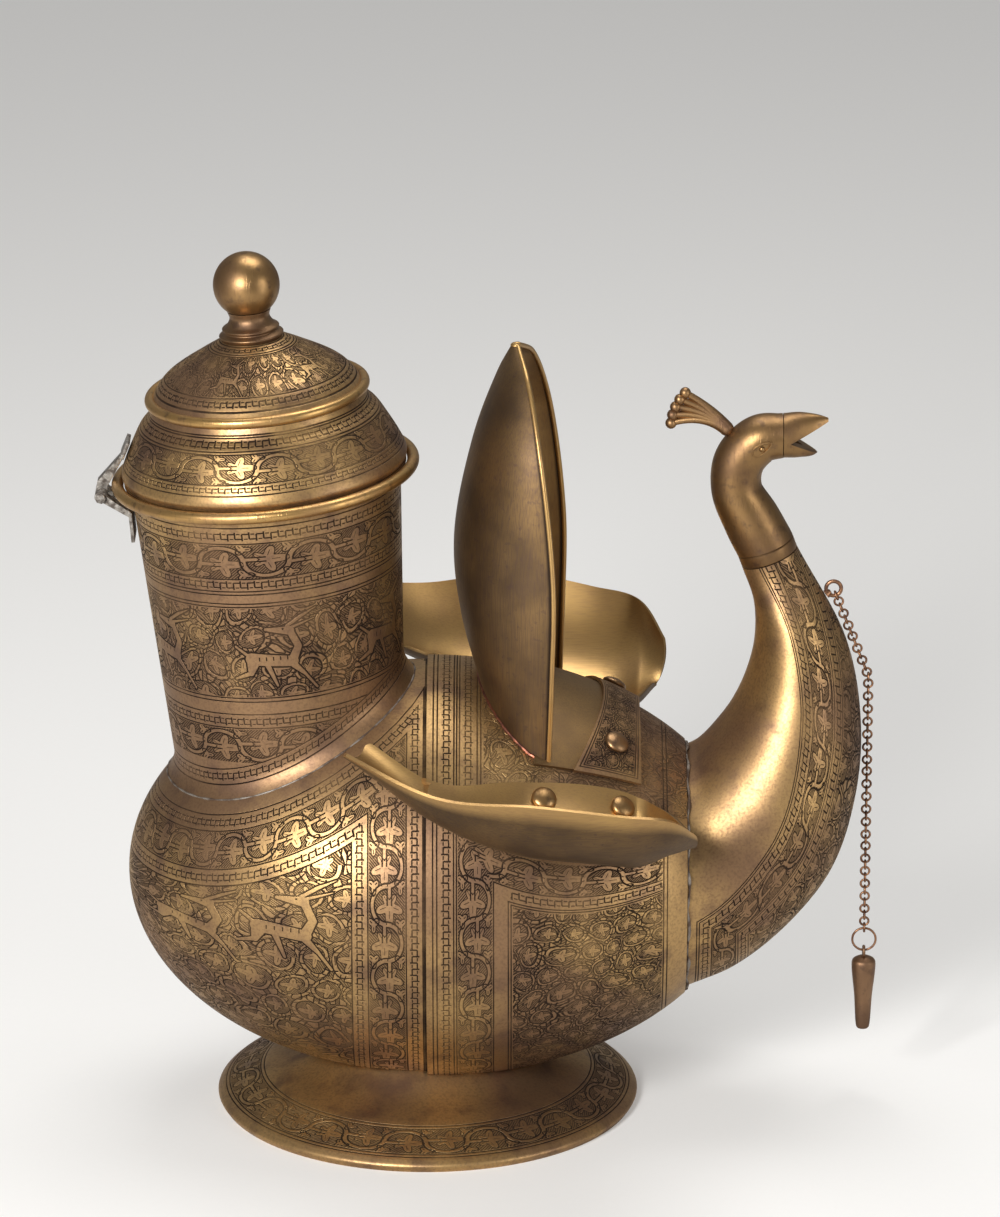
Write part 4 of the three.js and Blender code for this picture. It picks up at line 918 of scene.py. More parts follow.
def under_tower(x, y):
    """Height in the filler's frame at which a line along its axis meets the body."""
    to_bird = BIRD.inverted() @ FILLER
    sizes = np.array([REAR_LENGTH, BODY_RADIUS, BODY_RADIUS])
    start = placed(np.stack([x, y, 0 * x], -1), to_bird) / sizes
    step = placed(np.stack([x, y, 0 * x - 1], -1), to_bird) / sizes - start
    a, b, c = np.sum(step * step, -1), np.sum(start * step, -1), np.sum(start * start, -1) - 1
    return (b + np.sqrt(b * b - a * c)) / a


def tower_foot_ring():
    """The line on the body where the filler's flare ends, in the bird's frame."""
    angle = np.linspace(0, 2 * math.pi, 361)
    x, y = [(TOWER_FOOT_RADIUS + TOWER_FLARE) * turn for turn in (np.cos(angle), np.sin(angle))]
    return placed(np.stack([x, y, under_tower(x, y)], -1), BIRD.inverted() @ FILLER)


def rear_pattern(f):
    """Bands round the tower and along the seam: key, vine, key; inside them deer among tendrils."""
    u, y, h = f.place(BIRD)
    x_tower, y_tower, _ = f.place(FILLER)
    turn, _ = polar(f, x_tower, y_tower)
    from_tower = f.mark("from_tower") - REAR_PLAIN
    from_seam = -u
    girth = f.math("ARCTAN2", abs(y), h) * BODY_RADIUS
    seam_side = from_seam < from_tower
    inward = from_seam.least(from_tower)
    key_count, wave_count = REAR_COUNTS
    keys = f.pick(seam_side, turn * key_count, girth / KEY[1])
    waves = f.pick(seam_side, turn * wave_count, girth / REAR_VINE[1])
    fret = banded(f, key_fret, KEY, [strip(keys, inward - start, KEY[0]) for start in REAR_KEYS])
    scroll = vine(f, waves, inward - REAR_VINE_MIDDLE, *REAR_VINE)
    scroll *= between(inward, *REAR_VINE_EDGES)
    lines = rules(f, inward, *REAR_RULES).most(from_seam < SEAM_SHADE)
    second = from_seam > REAR_DEER_SPLIT
    deer_u, deer_girth = (f.pick(second, *places) for places in zip(*REAR_DEER))
    deer_line, deer_inside = deer(f, deer_u - from_seam, deer_girth - girth, REAR_DEER_UNIT)
    field = tendrils(f, from_seam, girth, REAR_CELL) * (1 - deer_inside)
    panel = deer_line.most(field) * (inward > REAR_BORDER)
    return lines.most(fret).most(scroll).most(panel)


def front_pattern(f):
    """Seam strip, key, vine and framed panel on the sides; a worn panel on the saddle."""
    u, y, h = f.place(BIRD)
    girth = f.math("ARCTAN2", abs(y), h) * FRONT_RADIUS
    crown, crown_girth, fall = FRONT_CROWN
    from_top = girth - crown_girth + (u - crown) * (u - crown) * fall
    from_seam = u - FRONT_EDGE
    inward = from_seam.least(from_top)
    waves = f.pick(from_seam < from_top, u, girth) / FRONT_VINE[1]
    lines = rules(f, u, *FRONT_RULES)
    fret = key_fret(f, girth / FRONT_KEY[1], u - FRONT_KEY_START, *FRONT_KEY)
    scroll = vine(f, waves, inward - FRONT_VINE_MIDDLE, *FRONT_VINE)
    scroll *= between(inward, *FRONT_VINE_EDGES)
    frame_lines = rules(f, inward, *FRONT_FRAME)
    frame_fret = key_fret(f, u / KEY[1], from_top - FRONT_FRAME_KEY, *KEY) * (u > FRONT_FRAME_KEY_FROM)
    field = tendrils(f, u, girth, FRONT_CELL) * (inward > FRONT_PANEL)
    side = scroll.most(frame_lines).most(frame_fret).most(field) * (girth > SADDLE_EDGE) * (u < FRONT_END)
    saddle = saddle_pattern(f, u, girth) * (girth < SADDLE_EDGE)
    return lines.most(fret).most(side).most(saddle)


def saddle_pattern(f, u, girth):
    fret = key_fret(f, girth / FRONT_KEY[1], u - SADDLE_KEY_START, *FRONT_KEY)
    lines = rules(f, u, *SADDLE_RULES)
    field = tendrils(f, u, girth, SADDLE_CELL) * (u > SADDLE_PANEL)
    return fret.most(lines).most(field) * SADDLE_WEAR


def make_body():
    rear_angle = np.linspace(0, math.pi / 2, 65)

    def rear_arc(inset):
        return np.stack([(BODY_RADIUS - inset) * np.sin(rear_angle),
                         -(REAR_LENGTH - inset) * np.cos(rear_angle)], -1)

    lap = [(BODY_RADIUS, SEAM_LAP), (BODY_RADIUS - WALL, SEAM_LAP)]
    outer, inner = [*rear_arc(0), *lap], rear_arc(WALL)[::-1]
    mesh = turned_level([*outer, *inner])
    ring = tower_foot_ring()
    nearest = np.min(np.linalg.norm(mesh[0][:, None] - ring[None, ::3], axis=2), axis=1)
    marks = {"from_tower": nearest, "inside": inside_mark(len(outer), len(outer) + len(inner))}
    rear = object_of("body_rear_shell", mesh, BIRD, marks)
    hole_radius = TOWER_FOOT_RADIUS - 2 * WALL
    hole = turned([(0, -MOUTH_HEIGHT), (hole_radius, -MOUTH_HEIGHT), (hole_radius, 0), (0, 0)])
    carved(rear, object_of("hole", hole, FILLER))
    finish_piece(rear, engraved("engraved_rear", rear_pattern), "jug", ["body_rear"])

    def front_arc(inset):
        length, radius = FRONT_LENGTH - inset, FRONT_RADIUS - inset
        angle = np.linspace(0, math.asin(NECK_SEAM / length), 57)
        return np.stack([radius * np.cos(angle), length * np.sin(angle)], -1)

    outer, inner = front_arc(0), front_arc(WALL)[::-1]
    front = object_of("body_front_shell", turned_level([*outer, *inner]), BIRD,
                      {"inside": inside_mark(len(outer), 2 * len(outer))})
    finish_piece(front, engraved("engraved_front", front_pattern), "jug", ["body_front"])


# Foot

def foot_pattern(f):
    x, y, _ = f.place(BIRD @ Matrix.Translation((FOOT_CENTRE, 0, 0)))
    turn, radius = polar(f, x, y)
    scroll = vine(f, turn * FOOT_WAVES, radius - FOOT_VINE_MIDDLE, *FOOT_VINE)
    scroll *= between(radius, *FOOT_VINE_EDGES)
    return rules(f, radius, *FOOT_RULES).most(scroll)


def make_foot():
    floor = -AXIS_HEIGHT
    band_top = FOOT_RADIUS - FOOT_BAND_WIDTH - RIM_WIRE
    rise = floor + FOOT_RIM_HEIGHT + FOOT_BAND_RISE
    collar_top = -BODY_RADIUS * math.sqrt(1 - (FOOT_COLLAR_RADIUS / BODY_RADIUS) ** 2) + 2 * WALL
    rim = smooth([(FOOT_RADIUS - WALL, floor), (FOOT_RADIUS - 0.1, floor + FOOT_RIM_HEIGHT / 2),
                  (FOOT_RADIUS - RIM_WIRE, floor + FOOT_RIM_HEIGHT)], 10)
    band = np.linspace(rim[-1], (band_top, rise), 8)[1:-1]
    collar = smooth([(band_top, rise), ((band_top + FOOT_COLLAR_RADIUS) / 2, (2 * rise + collar_top) / 3),
                     (FOOT_COLLAR_RADIUS, collar_top)], 24)
    outline = np.concatenate([rim, band, collar])
    inside = outline + FOOT_WALL * square_to(outline)
    inside[0, 1] = floor
    points, faces = turned(np.concatenate([outline, inside[::-1]]), TURN_SIDES, True)
    under_body = -body_radius(points[:, 0] + FOOT_CENTRE)
    under_body = -np.sqrt(np.maximum(under_body ** 2 - points[:, 1] ** 2, 0)) + 0.4 * WALL
    points[:, 2] = np.minimum(points[:, 2], under_body)
    foot = object_of("ring_foot", (points + [FOOT_CENTRE, 0, 0], faces), BIRD)
    finish_piece(foot, engraved("engraved_foot", foot_pattern), "jug", ["foot"])


# Filler tower and its lid

def animal_frieze(f, turn, across, count, unit, cells, cell):
    """Deer running round a band among tendrils; turn goes once round, across is in millimetres."""
    length = TOWER_GIRTH / count
    x = ((turn * count).part() - 0.5) * length
    outline, inside = deer(f, x, across, unit)
    return outline.most(tendrils(f, turn * (cells * cell), across, cell) * (1 - inside))


def tower_pattern(f):
    """Bands down the tower, with deer in the widest, and a key that follows the flare."""
    x, y, z = f.place(FILLER)
    turn, _ = polar(f, x, y)
    depth = -z
    above = f.mark("above")
    open_wall = above > TOWER_CLEAR
    key_count, wave_count = TOWER_COUNTS
    keys, waves = turn * key_count, turn * wave_count
    strips = [strip(keys, depth - start, *edges) for start, *edges in TOWER_KEYS]
    strips = [(mask * open_wall, along, across) for mask, along, across in strips]
    fret = banded(f, key_fret, KEY, [*strips, strip(keys, FLARE_KEY - above, KEY[0])])
    scroll = banded(f, vine, TOWER_VINE,
                    [(between(depth, middle - half, middle + half) * open_wall, waves + shift, depth - middle)
                     for middle, half, shift in TOWER_VINES])
    lines = (rules(f, depth, *TOWER_RULES) * open_wall).most(rules(f, above, *FLARE_RULES))
    top, middle, bottom = TOWER_FRIEZE
    frieze = animal_frieze(f, turn, middle - depth, *TOWER_DEER) * between(depth, top, bottom) * open_wall
    return lines.most(fret).most(scroll).most(frieze)


def make_tower():
    angle = 2 * math.pi * np.arange(TURN_SIDES) / TURN_SIDES
    forward, left = np.cos(angle), np.sin(angle)
    flared = TOWER_FOOT_RADIUS + TOWER_FLARE
    ground = under_tower(flared * forward, flared * left)
    flare_top = ground + TOWER_FLARE_HEIGHT
    rows = [(MOUTH_RADIUS + 0 * angle, 0 * angle), (MOUTH_RADIUS + 0 * angle, 0 * angle - WALL)]
    for share in np.linspace(0, 1, 33):
        height = -MOUTH_LIP_HEIGHT + share * (flare_top + MOUTH_LIP_HEIGHT)
        rows.append((TOWER_TOP_RADIUS + share * (TOWER_FOOT_RADIUS - TOWER_TOP_RADIUS) + 0 * angle, height))
    for share in np.linspace(0, 1, 11)[1:]:
        radius = TOWER_FOOT_RADIUS + TOWER_FLARE * share ** 2 + 0 * angle
        rows.append((radius, flare_top - TOWER_FLARE_HEIGHT * share))
    radius, height = (np.array([row[i] for row in rows]) for i in (0, 1))
    outside = np.stack([radius * forward, radius * left, height], -1)
    inner = np.minimum(radius, TOWER_TOP_RADIUS) - WALL
    inside = np.stack([inner * forward, inner * left, height], -1)
    above = height - ground
    marks = {"above": np.concatenate([above, above[::-1]]), "inside": inside_mark(len(rows), 2 * len(rows))}
    tower = object_of("filler_tower", pipe(outside, inside), FILLER, marks)
    finish_piece(tower, engraved("engraved_tower", tower_pattern), "jug", ["filler_neck"])
    rim = object_of("mouth_bead", turned(bead(RIM_RADIUS, -RIM_DROP, RIM_WIRE), TURN_SIDES, True), FILLER)
    finish_piece(rim, RUBBED, "jug", ["filler_rim"])


def bead(radius, height, wire, steps=20):
    angle = 2 * math.pi * np.arange(steps) / steps
    return np.stack([radius + wire * np.cos(angle), height + wire * np.sin(angle)], -1)


def dome_pattern(f):
    x, y, z = f.place(FILLER)
    turn, _ = polar(f, x, y)
    fret = banded(f, key_fret, DOME_KEY, [strip(turn * count, (z - start) * stretch, DOME_KEY[0])
                                          for start, stretch, count in DOME_KEYS])
    scroll = vine(f, turn * DOME_WAVES, (z - DOME_VINE_MIDDLE) * SLOPE, *DOME_VINE)
    scroll *= between(z, *DOME_VINE_EDGES)
    return rules(f, z, *DOME_RULES).most(fret).most(scroll)


def cap_pattern(f):
    x, y, _ = f.place(FILLER)
    turn, radius = polar(f, x, y)
    fret = banded(f, key_fret, CAP_KEY, [strip(turn * count, radius - start, CAP_KEY[0])
                                         for start, count in CAP_KEYS])
    inner, middle, outer = CAP_FRIEZE
    frieze = animal_frieze(f, turn, (middle - radius) * SLOPE, *CAP_DEER) * between(radius, inner, outer)
    return rules(f, radius, *CAP_RULES).most(fret).most(frieze)


def square_to(outline):
    """Unit directions to the left of an outline's way."""
    along = np.gradient(outline, axis=0)
    along /= np.linalg.norm(along, axis=1, keepdims=True)
    return np.stack([-along[:, 1], along[:, 0]], -1)


def make_dome():
    drop = LID_RADIUS - CAP_RADIUS
    outline = smooth([(LID_RADIUS, FIT), (LID_RADIUS + DOME_SWELL, 0.1 * DOME_HEIGHT),
                      (LID_RADIUS - DOME_SWELL, 0.27 * DOME_HEIGHT),
                      (LID_RADIUS - 0.37 * drop, 0.54 * DOME_HEIGHT),
                      (LID_RADIUS - 0.63 * drop, 0.74 * DOME_HEIGHT),
                      (LID_RADIUS - 0.88 * drop, 0.86 * DOME_HEIGHT), (CAP_RADIUS, DOME_HEIGHT)], 48)
    inside = (outline + WALL * square_to(outline))[2:]
    skirt = TOWER_TOP_RADIUS - WALL - LID_SKIRT_PLAY
    flange = [(LID_RADIUS - WALL, FIT + WALL), (skirt - WALL, FIT + WALL), (skirt - WALL, -LID_SKIRT_DEPTH),
              (skirt, -LID_SKIRT_DEPTH), (skirt, FIT)]
    section = [*outline, *inside[::-1], *flange]
    dome = object_of("lid_dome_shell", turned(section, TURN_SIDES, True), FILLER,
                     {"inside": inside_mark(len(outline), len(section))})
    finish_piece(dome, engraved("engraved_dome", dome_pattern), "lid", ["lid_dome"])


def make_cap():
    middle = CAP_SEAT + CAP_BEAD
    cone = smooth([(CAP_RADIUS - CAP_BEAD / 2, middle + CAP_BEAD / 2),
                   (0.85 * CAP_RADIUS, middle + 0.36 * CAP_HEIGHT),
                   (0.5 * CAP_RADIUS, middle + 0.78 * CAP_HEIGHT), (CAP_TOP_RADIUS, CAP_TOP)], 40)
    under = (cone - [WALL / 2, WALL])[::-1]
    section = [*cone, (CAP_HOLE, CAP_TOP), (CAP_HOLE, CAP_TOP - WALL), *under]
    cap = object_of("lid_cap_cone", turned(section, TURN_SIDES, True), FILLER,
                    {"inside": inside_mark(len(cone) + 1, len(section))})
    finish_piece(cap, engraved("engraved_cap", cap_pattern), "lid", ["lid_cap"])
    roll = object_of("cap_bead", turned(bead(CAP_RADIUS, middle, CAP_BEAD), TURN_SIDES, True), FILLER)
    finish_piece(roll, RUBBED, "lid", None)


def make_finial():
    stem = smooth([(CAP_TOP_RADIUS, STEM_FOOT), (CAP_TOP_RADIUS + WALL / 2, STEM_FOOT + 0.12 * STEM_HEIGHT),
                   (CAP_TOP_RADIUS - WALL, STEM_FOOT + 0.26 * STEM_HEIGHT),
                   (CAP_TOP_RADIUS - WALL / 2, STEM_FOOT + 0.36 * STEM_HEIGHT),
                   (STEM_TOP_RADIUS + WALL / 2, STEM_FOOT + 0.5 * STEM_HEIGHT),
                   (STEM_TOP_RADIUS - WALL / 2, STEM_FOOT + 0.75 * STEM_HEIGHT),
                   (STEM_TOP_RADIUS, STEM_TOP)], 48)
    spool = object_of("finial_spool", turned([(0, STEM_FOOT), *stem, (0, STEM_TOP)], FINIAL_SIDES), FILLER)
    finish_piece(spool, RUBBED_DARK, "lid", ["finial_stem"])
    flat = math.asin(STEM_TOP_RADIUS / BALL_RADIUS)
    angle = np.linspace(flat, math.pi, 49)
    centre = STEM_TOP + FIT + BALL_RADIUS * math.cos(flat)
    arc = np.stack([BALL_RADIUS * np.sin(angle), centre - BALL_RADIUS * np.cos(angle)], -1)
    knob = object_of("finial_knob", turned([(0, arc[0, 1]), *arc], FINIAL_SIDES), FILLER)
    finish_piece(knob, RUBBED_BALL, "lid", ["finial_ball"])


def make_hinge():
    """The hinge's pieces from their solids, with their edges softened."""
    for node, body in (("hinge_neck_leaf", "jug"), ("hinge_lid_leaf", "lid"), ("hinge_pin", "jug")):
        data = frame["nodes"][node].data.copy()
        weld(data)
        item = linked(f"{node}_soft", data)
        edge = item.modifiers.new("edge", "BEVEL")
        edge.width = HINGE_EDGE * MM
        edge.segments = 3
        edge.limit_method = "ANGLE"
        edge.angle_limit = math.radians(50)
        finish_piece(settle(item), TINNED, body, [node])


# Neck, head and beak: tubes bent in the jug's middle plane

def stations_between(fronts, backs, shares):
    front, back = through(fronts, shares), through(backs, shares)
    across = front - back
    radius = np.linalg.norm(across, axis=1) / 2
    across /= 2 * radius[:, None]
    return (front + back) / 2, np.stack([-across[:, 1], across[:, 0]], -1), radius


def rings(middles, ahead, radii, sides):
    """Rings square to a middle line; the first column is at the front, the middle one at the back."""
    angle = 2 * math.pi * np.arange(sides) / sides
    reach = np.asarray(radii)[:, None] * np.cos(angle)
    y = np.asarray(radii)[:, None] * np.sin(angle)
    return np.stack([middles[:, :1] + ahead[:, 1:] * reach, y, middles[:, 1:] - ahead[:, :1] * reach], -1)


def neck_pattern(f):
    """A plain back; key, vine and key along the sides and beside the seam; tendrils on the breast."""
    side, seam = f.mark("from_back"), f.mark("from_seam") - NECK_PLAIN
    up, round_seam = f.mark("up_neck"), f.mark("girth")
    inward = seam.least(side)
    travelled = f.pick(seam < side, up, round_seam)
    keys, waves = travelled / NECK_KEY[1], travelled / NECK_VINE[1]
    fret = banded(f, key_fret, NECK_KEY, [strip(keys, inward - start, tall) for start, tall in NECK_KEYS])
    scroll = vine(f, waves, inward - NECK_VINE_MIDDLE, *NECK_VINE)
    scroll *= between(inward, *NECK_VINE_EDGES)
    field = tendrils(f, up, side, NECK_CELL) * (inward > NECK_PANEL)
    return rules(f, inward, *NECK_RULES).most(fret).most(scroll).most(field)


def make_neck():
    shares = np.linspace(0, 1, 97)
    fronts = np.array([(FIT, -NECK_ROOT_RADIUS), *NECK_FRONTS]) + [NECK_SEAM, 0]
    backs = np.array([(FIT, NECK_ROOT_RADIUS), *NECK_BACKS]) + [NECK_SEAM, 0]
    middles, ahead, radii = stations_between(fronts, backs, shares)
    outside = rings(middles, ahead, radii, NECK_SIDES)
    inside = rings(middles, ahead, radii - WALL, NECK_SIDES)
    plug = [grid[:1] - [NECK_PLUG, 0, 0] for grid in (outside, inside)]
    angle = 2 * math.pi * np.arange(NECK_SIDES) / NECK_SIDES
    from_back = np.abs(math.pi - angle)
    start = np.radians(np.interp(shares, *NECK_START))[:, None]
    step = np.linalg.norm(np.diff(outside, axis=0), axis=2)
    travelled = np.vstack([0 * step[:1], np.cumsum(step, axis=0)])
    middle_step = np.linalg.norm(np.diff(middles, axis=0), axis=1)
    up = np.concatenate([[0], np.cumsum(middle_step)])[:, None] + 0 * from_back
    marks = {"from_back": (from_back - start) * radii[:, None], "from_seam": travelled, "up_neck": up,
             "girth": from_back * radii[:, None]}

    def both(values):
        outer = np.vstack([values[:1], values])
        return np.concatenate([outer, outer[::-1]])

    marks = {name: both(values) for name, values in marks.items()}
    marks["inside"] = inside_mark(len(outside) + 1, 2 * len(outside) + 2, NECK_SIDES)
    mesh = pipe(np.vstack([plug[0], outside]), np.vstack([plug[1], inside]))
    neck = object_of("breast_and_neck", mesh, BIRD, marks)
    finish_piece(neck, engraved("engraved_neck", neck_pattern), "jug", ["bird_neck"])
    return middles[-1], ahead[-1], radii[-1]


def make_head(top, up, sleeve):
    """Ferrule, bent head, beak and crest, from the neck's top."""
    inner, end = sleeve - FERRULE_WALL, FERRULE_LENGTH - FIT
    ring = [(inner, FIT), (sleeve - 0.3, FIT), (sleeve, FIT + 0.4), (sleeve, end - 0.5), (sleeve - 0.5, end),
            (inner, end)]
    band = aimed(turned(ring, NECK_SIDES, True), (top[0], 0, top[1]), (up[0], 0, up[1]))
    ferrule = object_of("neck_band", band, BIRD)
    finish_piece(ferrule, RUBBED_HEAD, "jug", ["neck_ferrule"])

    start = top + up * FERRULE_LENGTH
    line = np.array([(0, 0, sleeve), *HEAD_TURN]) + [start[0], start[1], 0]
    shares = np.linspace(0, 1, 61)
    way = through(line, shares)
    ahead = np.gradient(way[:, :2], axis=0)
    ahead /= np.linalg.norm(ahead, axis=1, keepdims=True)
    ahead[0], ahead[-1] = up, (1, 0)
    outside = rings(way[:, :2], ahead, way[:, 2], HEAD_SIDES)
    inside = rings(way[:, :2], ahead, np.minimum(way[:, 2] - WALL, sleeve - HEAD_BORE_INSET), HEAD_SIDES)
    eyes = [eye(way, ahead, side) for side in (-1, 1)]
    head = object_of("bird_head_tube", together(pipe(outside, inside), *eyes), BIRD)
    finish_piece(head, RUBBED_HEAD, "jug", ["bird_head"])
    make_beak(way[-1])
    make_crest(way, ahead)


def eye(way, ahead, side):
    """A carved almond eye on one side of the head: a raised outline with a pupil."""
    step = int(EYE_SHARE * (len(way) - 1))
    middle, radius = way[step, :2], way[step, 2]
    angle = np.linspace(0, 2 * math.pi, 33)[:-1]
    half_length, half_height, lift = CARVED_EYE
    along = half_length * np.cos(angle)
    rise = half_height * np.sin(angle) * (1 - 0.3 * np.cos(angle)) + lift + 0.1 * along
    up = np.array([-ahead[step, 1], ahead[step, 0]])
    place = middle + along[:, None] * ahead[step] + rise[:, None] * up
    out = np.sqrt(np.maximum(radius ** 2 - rise ** 2, 0)) * side
    path = np.stack([place[:, 0], out, place[:, 1]], -1)
    centre = path.mean(0) * [1, 0.985, 1]
    return together(swept(path, CARVED_EYE_WIRE, 8, True), ball(centre, PUPIL_RADIUS, 16))


def make_beak(root):
    """A hollow beak whose mouth is opened by a wedge."""
    u, h, radius = root
    sections = [(FIT, radius, -radius, radius), (0.36 * BEAK_LENGTH, 1.08 * radius, -radius, 0.76 * radius),
                (BEAK_LOWER_LENGTH, radius, -0.86 * radius, 0.48 * radius),
                (BEAK_LENGTH, BEAK_TIP_RISE + WALL / 2, 0, 0.13 * radius)]
    along, high, low, half = through(sections, np.linspace(0, 1, 33)).T[:, :, None]
    angle = 2 * math.pi * np.arange(48) / 48

    def shell(inset):
        rise = (high + low) / 2 + ((high - low) / 2 - inset) * np.cos(angle)
        return np.stack([along + 0 * rise, (half - inset) * np.sin(angle), rise], -1)

    inset = np.minimum(0.9 * half, radius - SPOUT_BORE)
    item = object_of("open_beak", pipe(shell(0), shell(inset)), BIRD @ Matrix.Translation((u, 0, h)))
    corner = np.array([MOUTH_CORNER, -WALL])
    upper = np.array([2 * BEAK_LENGTH, corner[1] + (BEAK_TIP_RISE - corner[1]) * 2])
    lower = np.array([2 * BEAK_LOWER_LENGTH, corner[1] + (-0.82 * radius - corner[1]) * 2])
    sides = [[(x, y, z) for x, z in (corner, lower, upper)] for y in (-2 * radius, 2 * radius)]
    wedge = np.array(sides).reshape(-1, 3), [(0, 1, 2), (5, 4, 3), (0, 3, 4, 1), (1, 4, 5, 2), (2, 5, 3, 0)]
    carved(item, object_of("mouth", wedge, BIRD @ Matrix.Translation((u, 0, h))))
    finish_piece(item, RUBBED_HEAD, "jug", ["beak"])


def make_crest(way, ahead):
    """Five curled feathers with beads at their tips, from one root at the back of the head."""
    step = round(CREST_PLACE * (len(way) - 1))
    side = np.array([-ahead[step, 1], ahead[step, 0]])
    start = way[step, :2] + side * (way[step, 2] + FIT + CREST_WIRE)

    def reach(angle, distance):
        return np.array([start[0] + distance * math.cos(angle), start[1] + distance * math.sin(angle)])

    w = np.linspace(0, 1, 25)[:, None]
    thickness = CREST_WIRE * (0.9 + 1.05 * (1 - w[:, 0]) ** 2)
    parts = [ball((start[0], 0, start[1]), thickness[0])]
    for share in np.linspace(0, 1, CREST_FEATHERS):
        first, last = CREST_ANGLES
        angle = first + share * (last - first)
        stem = first - CREST_ARCH + 0.6 * share * (last - first)
        tip = reach(angle, CREST_LENGTH)
        path = (1 - w) ** 2 * start + 2 * w * (1 - w) * reach(stem, CREST_LENGTH / 2) + w ** 2 * tip
        parts.append(swept(np.insert(path, 1, 0, axis=1), thickness, 12))
        parts.append(ball((tip[0], 0, tip[1]), CREST_BEAD))
    crest = object_of("head_crest", together(*parts), BIRD)
    finish_piece(crest, CREST_BRASS, "jug", ["crest"])


# Wings, plume and strap: bent sheet

def grid_normals(grid):
    normal = np.cross(np.gradient(grid, axis=0), np.gradient(grid, axis=1))
    return normal / np.maximum(np.linalg.norm(normal, axis=2, keepdims=True), 1e-9)


def wing_point(s, t, side, back, raise_by):
    """The middle surface of a wing's sheet, from tail tip to front tip and from root to lip."""
    root_curve = through([section[:3] for section in WING_SECTIONS], s)
    drop = through([(section[3], 0, 0) for section in WING_SECTIONS], s)[..., :1]
    angle = np.radians(root_curve[..., 1])
    above = FIT + WALL / 2 + np.maximum(root_curve[..., 2], 0)
    start = over_body(root_curve[..., 0] - back, angle, above)
    downhill = np.stack([0 * angle, np.cos(angle), -np.sin(angle)], -1)
    leave = start + downhill * drop
    lift = np.array([-back, BODY_RADIUS, BODY_RADIUS])
    belly = through([section[4] for section in WING_SECTIONS], s) + lift + [0, 0, raise_by / 2]
    lip = through([section[5] for section in WING_SECTIONS], s) + lift + [0, 0, raise_by]
    t = t[..., None]
    point = (1 - t) ** 3 * start + 3 * t * (1 - t) ** 2 * leave + 3 * t * t * (1 - t) * belly + t ** 3 * lip
    return point * [1, side, 1]


def make_wings():
    s, t = np.meshgrid(np.linspace(0, 1, 81), np.linspace(0, 1, 41), indexing="ij")
    rounded = 0.5 + (s - 0.5) * (1 - 0.035 * np.abs(2 * t - 1) ** 7)
    for name, (side, back, raise_by) in WING_SETS.items():
        middle = wing_point(rounded, t, side, back, raise_by)
        half = grid_normals(middle) * WALL / 2
        up_face, down_face = (middle + half, middle - half)
        if half[40, 8, 2] < 0:
            up_face, down_face = down_face, up_face
        # gold upper face and lip; the brown under face is partly painted shade
        lip = np.clip((t - 0.93) / 0.05, 0, 1)
        gilt = np.concatenate([0 * t + 1, lip[:, ::-1]], axis=1)
        wing = object_of(f"wing_sheet_{name}", leaf(up_face, down_face), BIRD, {"gilt": gilt})
        finish_piece(wing, WING_SHEET, "jug", [f"wing_{name}"])


def plume_point(s, t):
    spine_u, spine_h, edge_u, edge_h, half = np.moveaxis(plume_rows(s), -1, 0)
    angle = math.pi * (t - 0.5)
    depth = np.cos(angle)
    u = edge_u + (spine_u - edge_u) * depth
    h = edge_h + (spine_h - edge_h) * depth
    pivot = PLUME_SECTIONS[0][2]
    side = np.maximum(half, PLUME_SECTIONS[-1][4]) * np.sin(angle)
    cosine, sine = math.cos(PLUME_TWIST), math.sin(PLUME_TWIST)
    x, y = u - pivot, side
    return np.stack([pivot + x * cosine + y * sine, -x * sine + y * cosine, h + BODY_RADIUS], -1)


def plume_rows(s):
    spine = through([(row[0], row[1], row[4]) for row in PLUME_SECTIONS], s)
    edge = through([(row[2], row[3], 0) for row in PLUME_SECTIONS], s)
    return np.stack([spine[..., 0], spine[..., 1], edge[..., 0], edge[..., 1], spine[..., 2]], -1)


def patch(shape, above, rows=33, columns=73):
    """The middle of a patch of sheet bent over the back."""
    start, end, angle, bow = shape
    s, t = np.meshgrid(np.linspace(0, 1, rows), np.linspace(0, 1, columns), indexing="ij")
    rear = start + bow * (1 - (2 * t - 1) ** 2)
    half = math.radians(angle)
    return over_body(rear + (end - rear) * s, -half + 2 * half * t, above + WALL / 2)


def strap_pattern(f):
    s, t = f.mark("along"), f.mark("aside")
    edge = s.least(STRAP[1] - STRAP[0] - s).least(STRAP_REACH - 1 - abs(t))
    return rules(f, edge, *STRAP_RULES).most(tendrils(f, t, s, STRAP_CELL) * (edge > STRAP_PANEL))


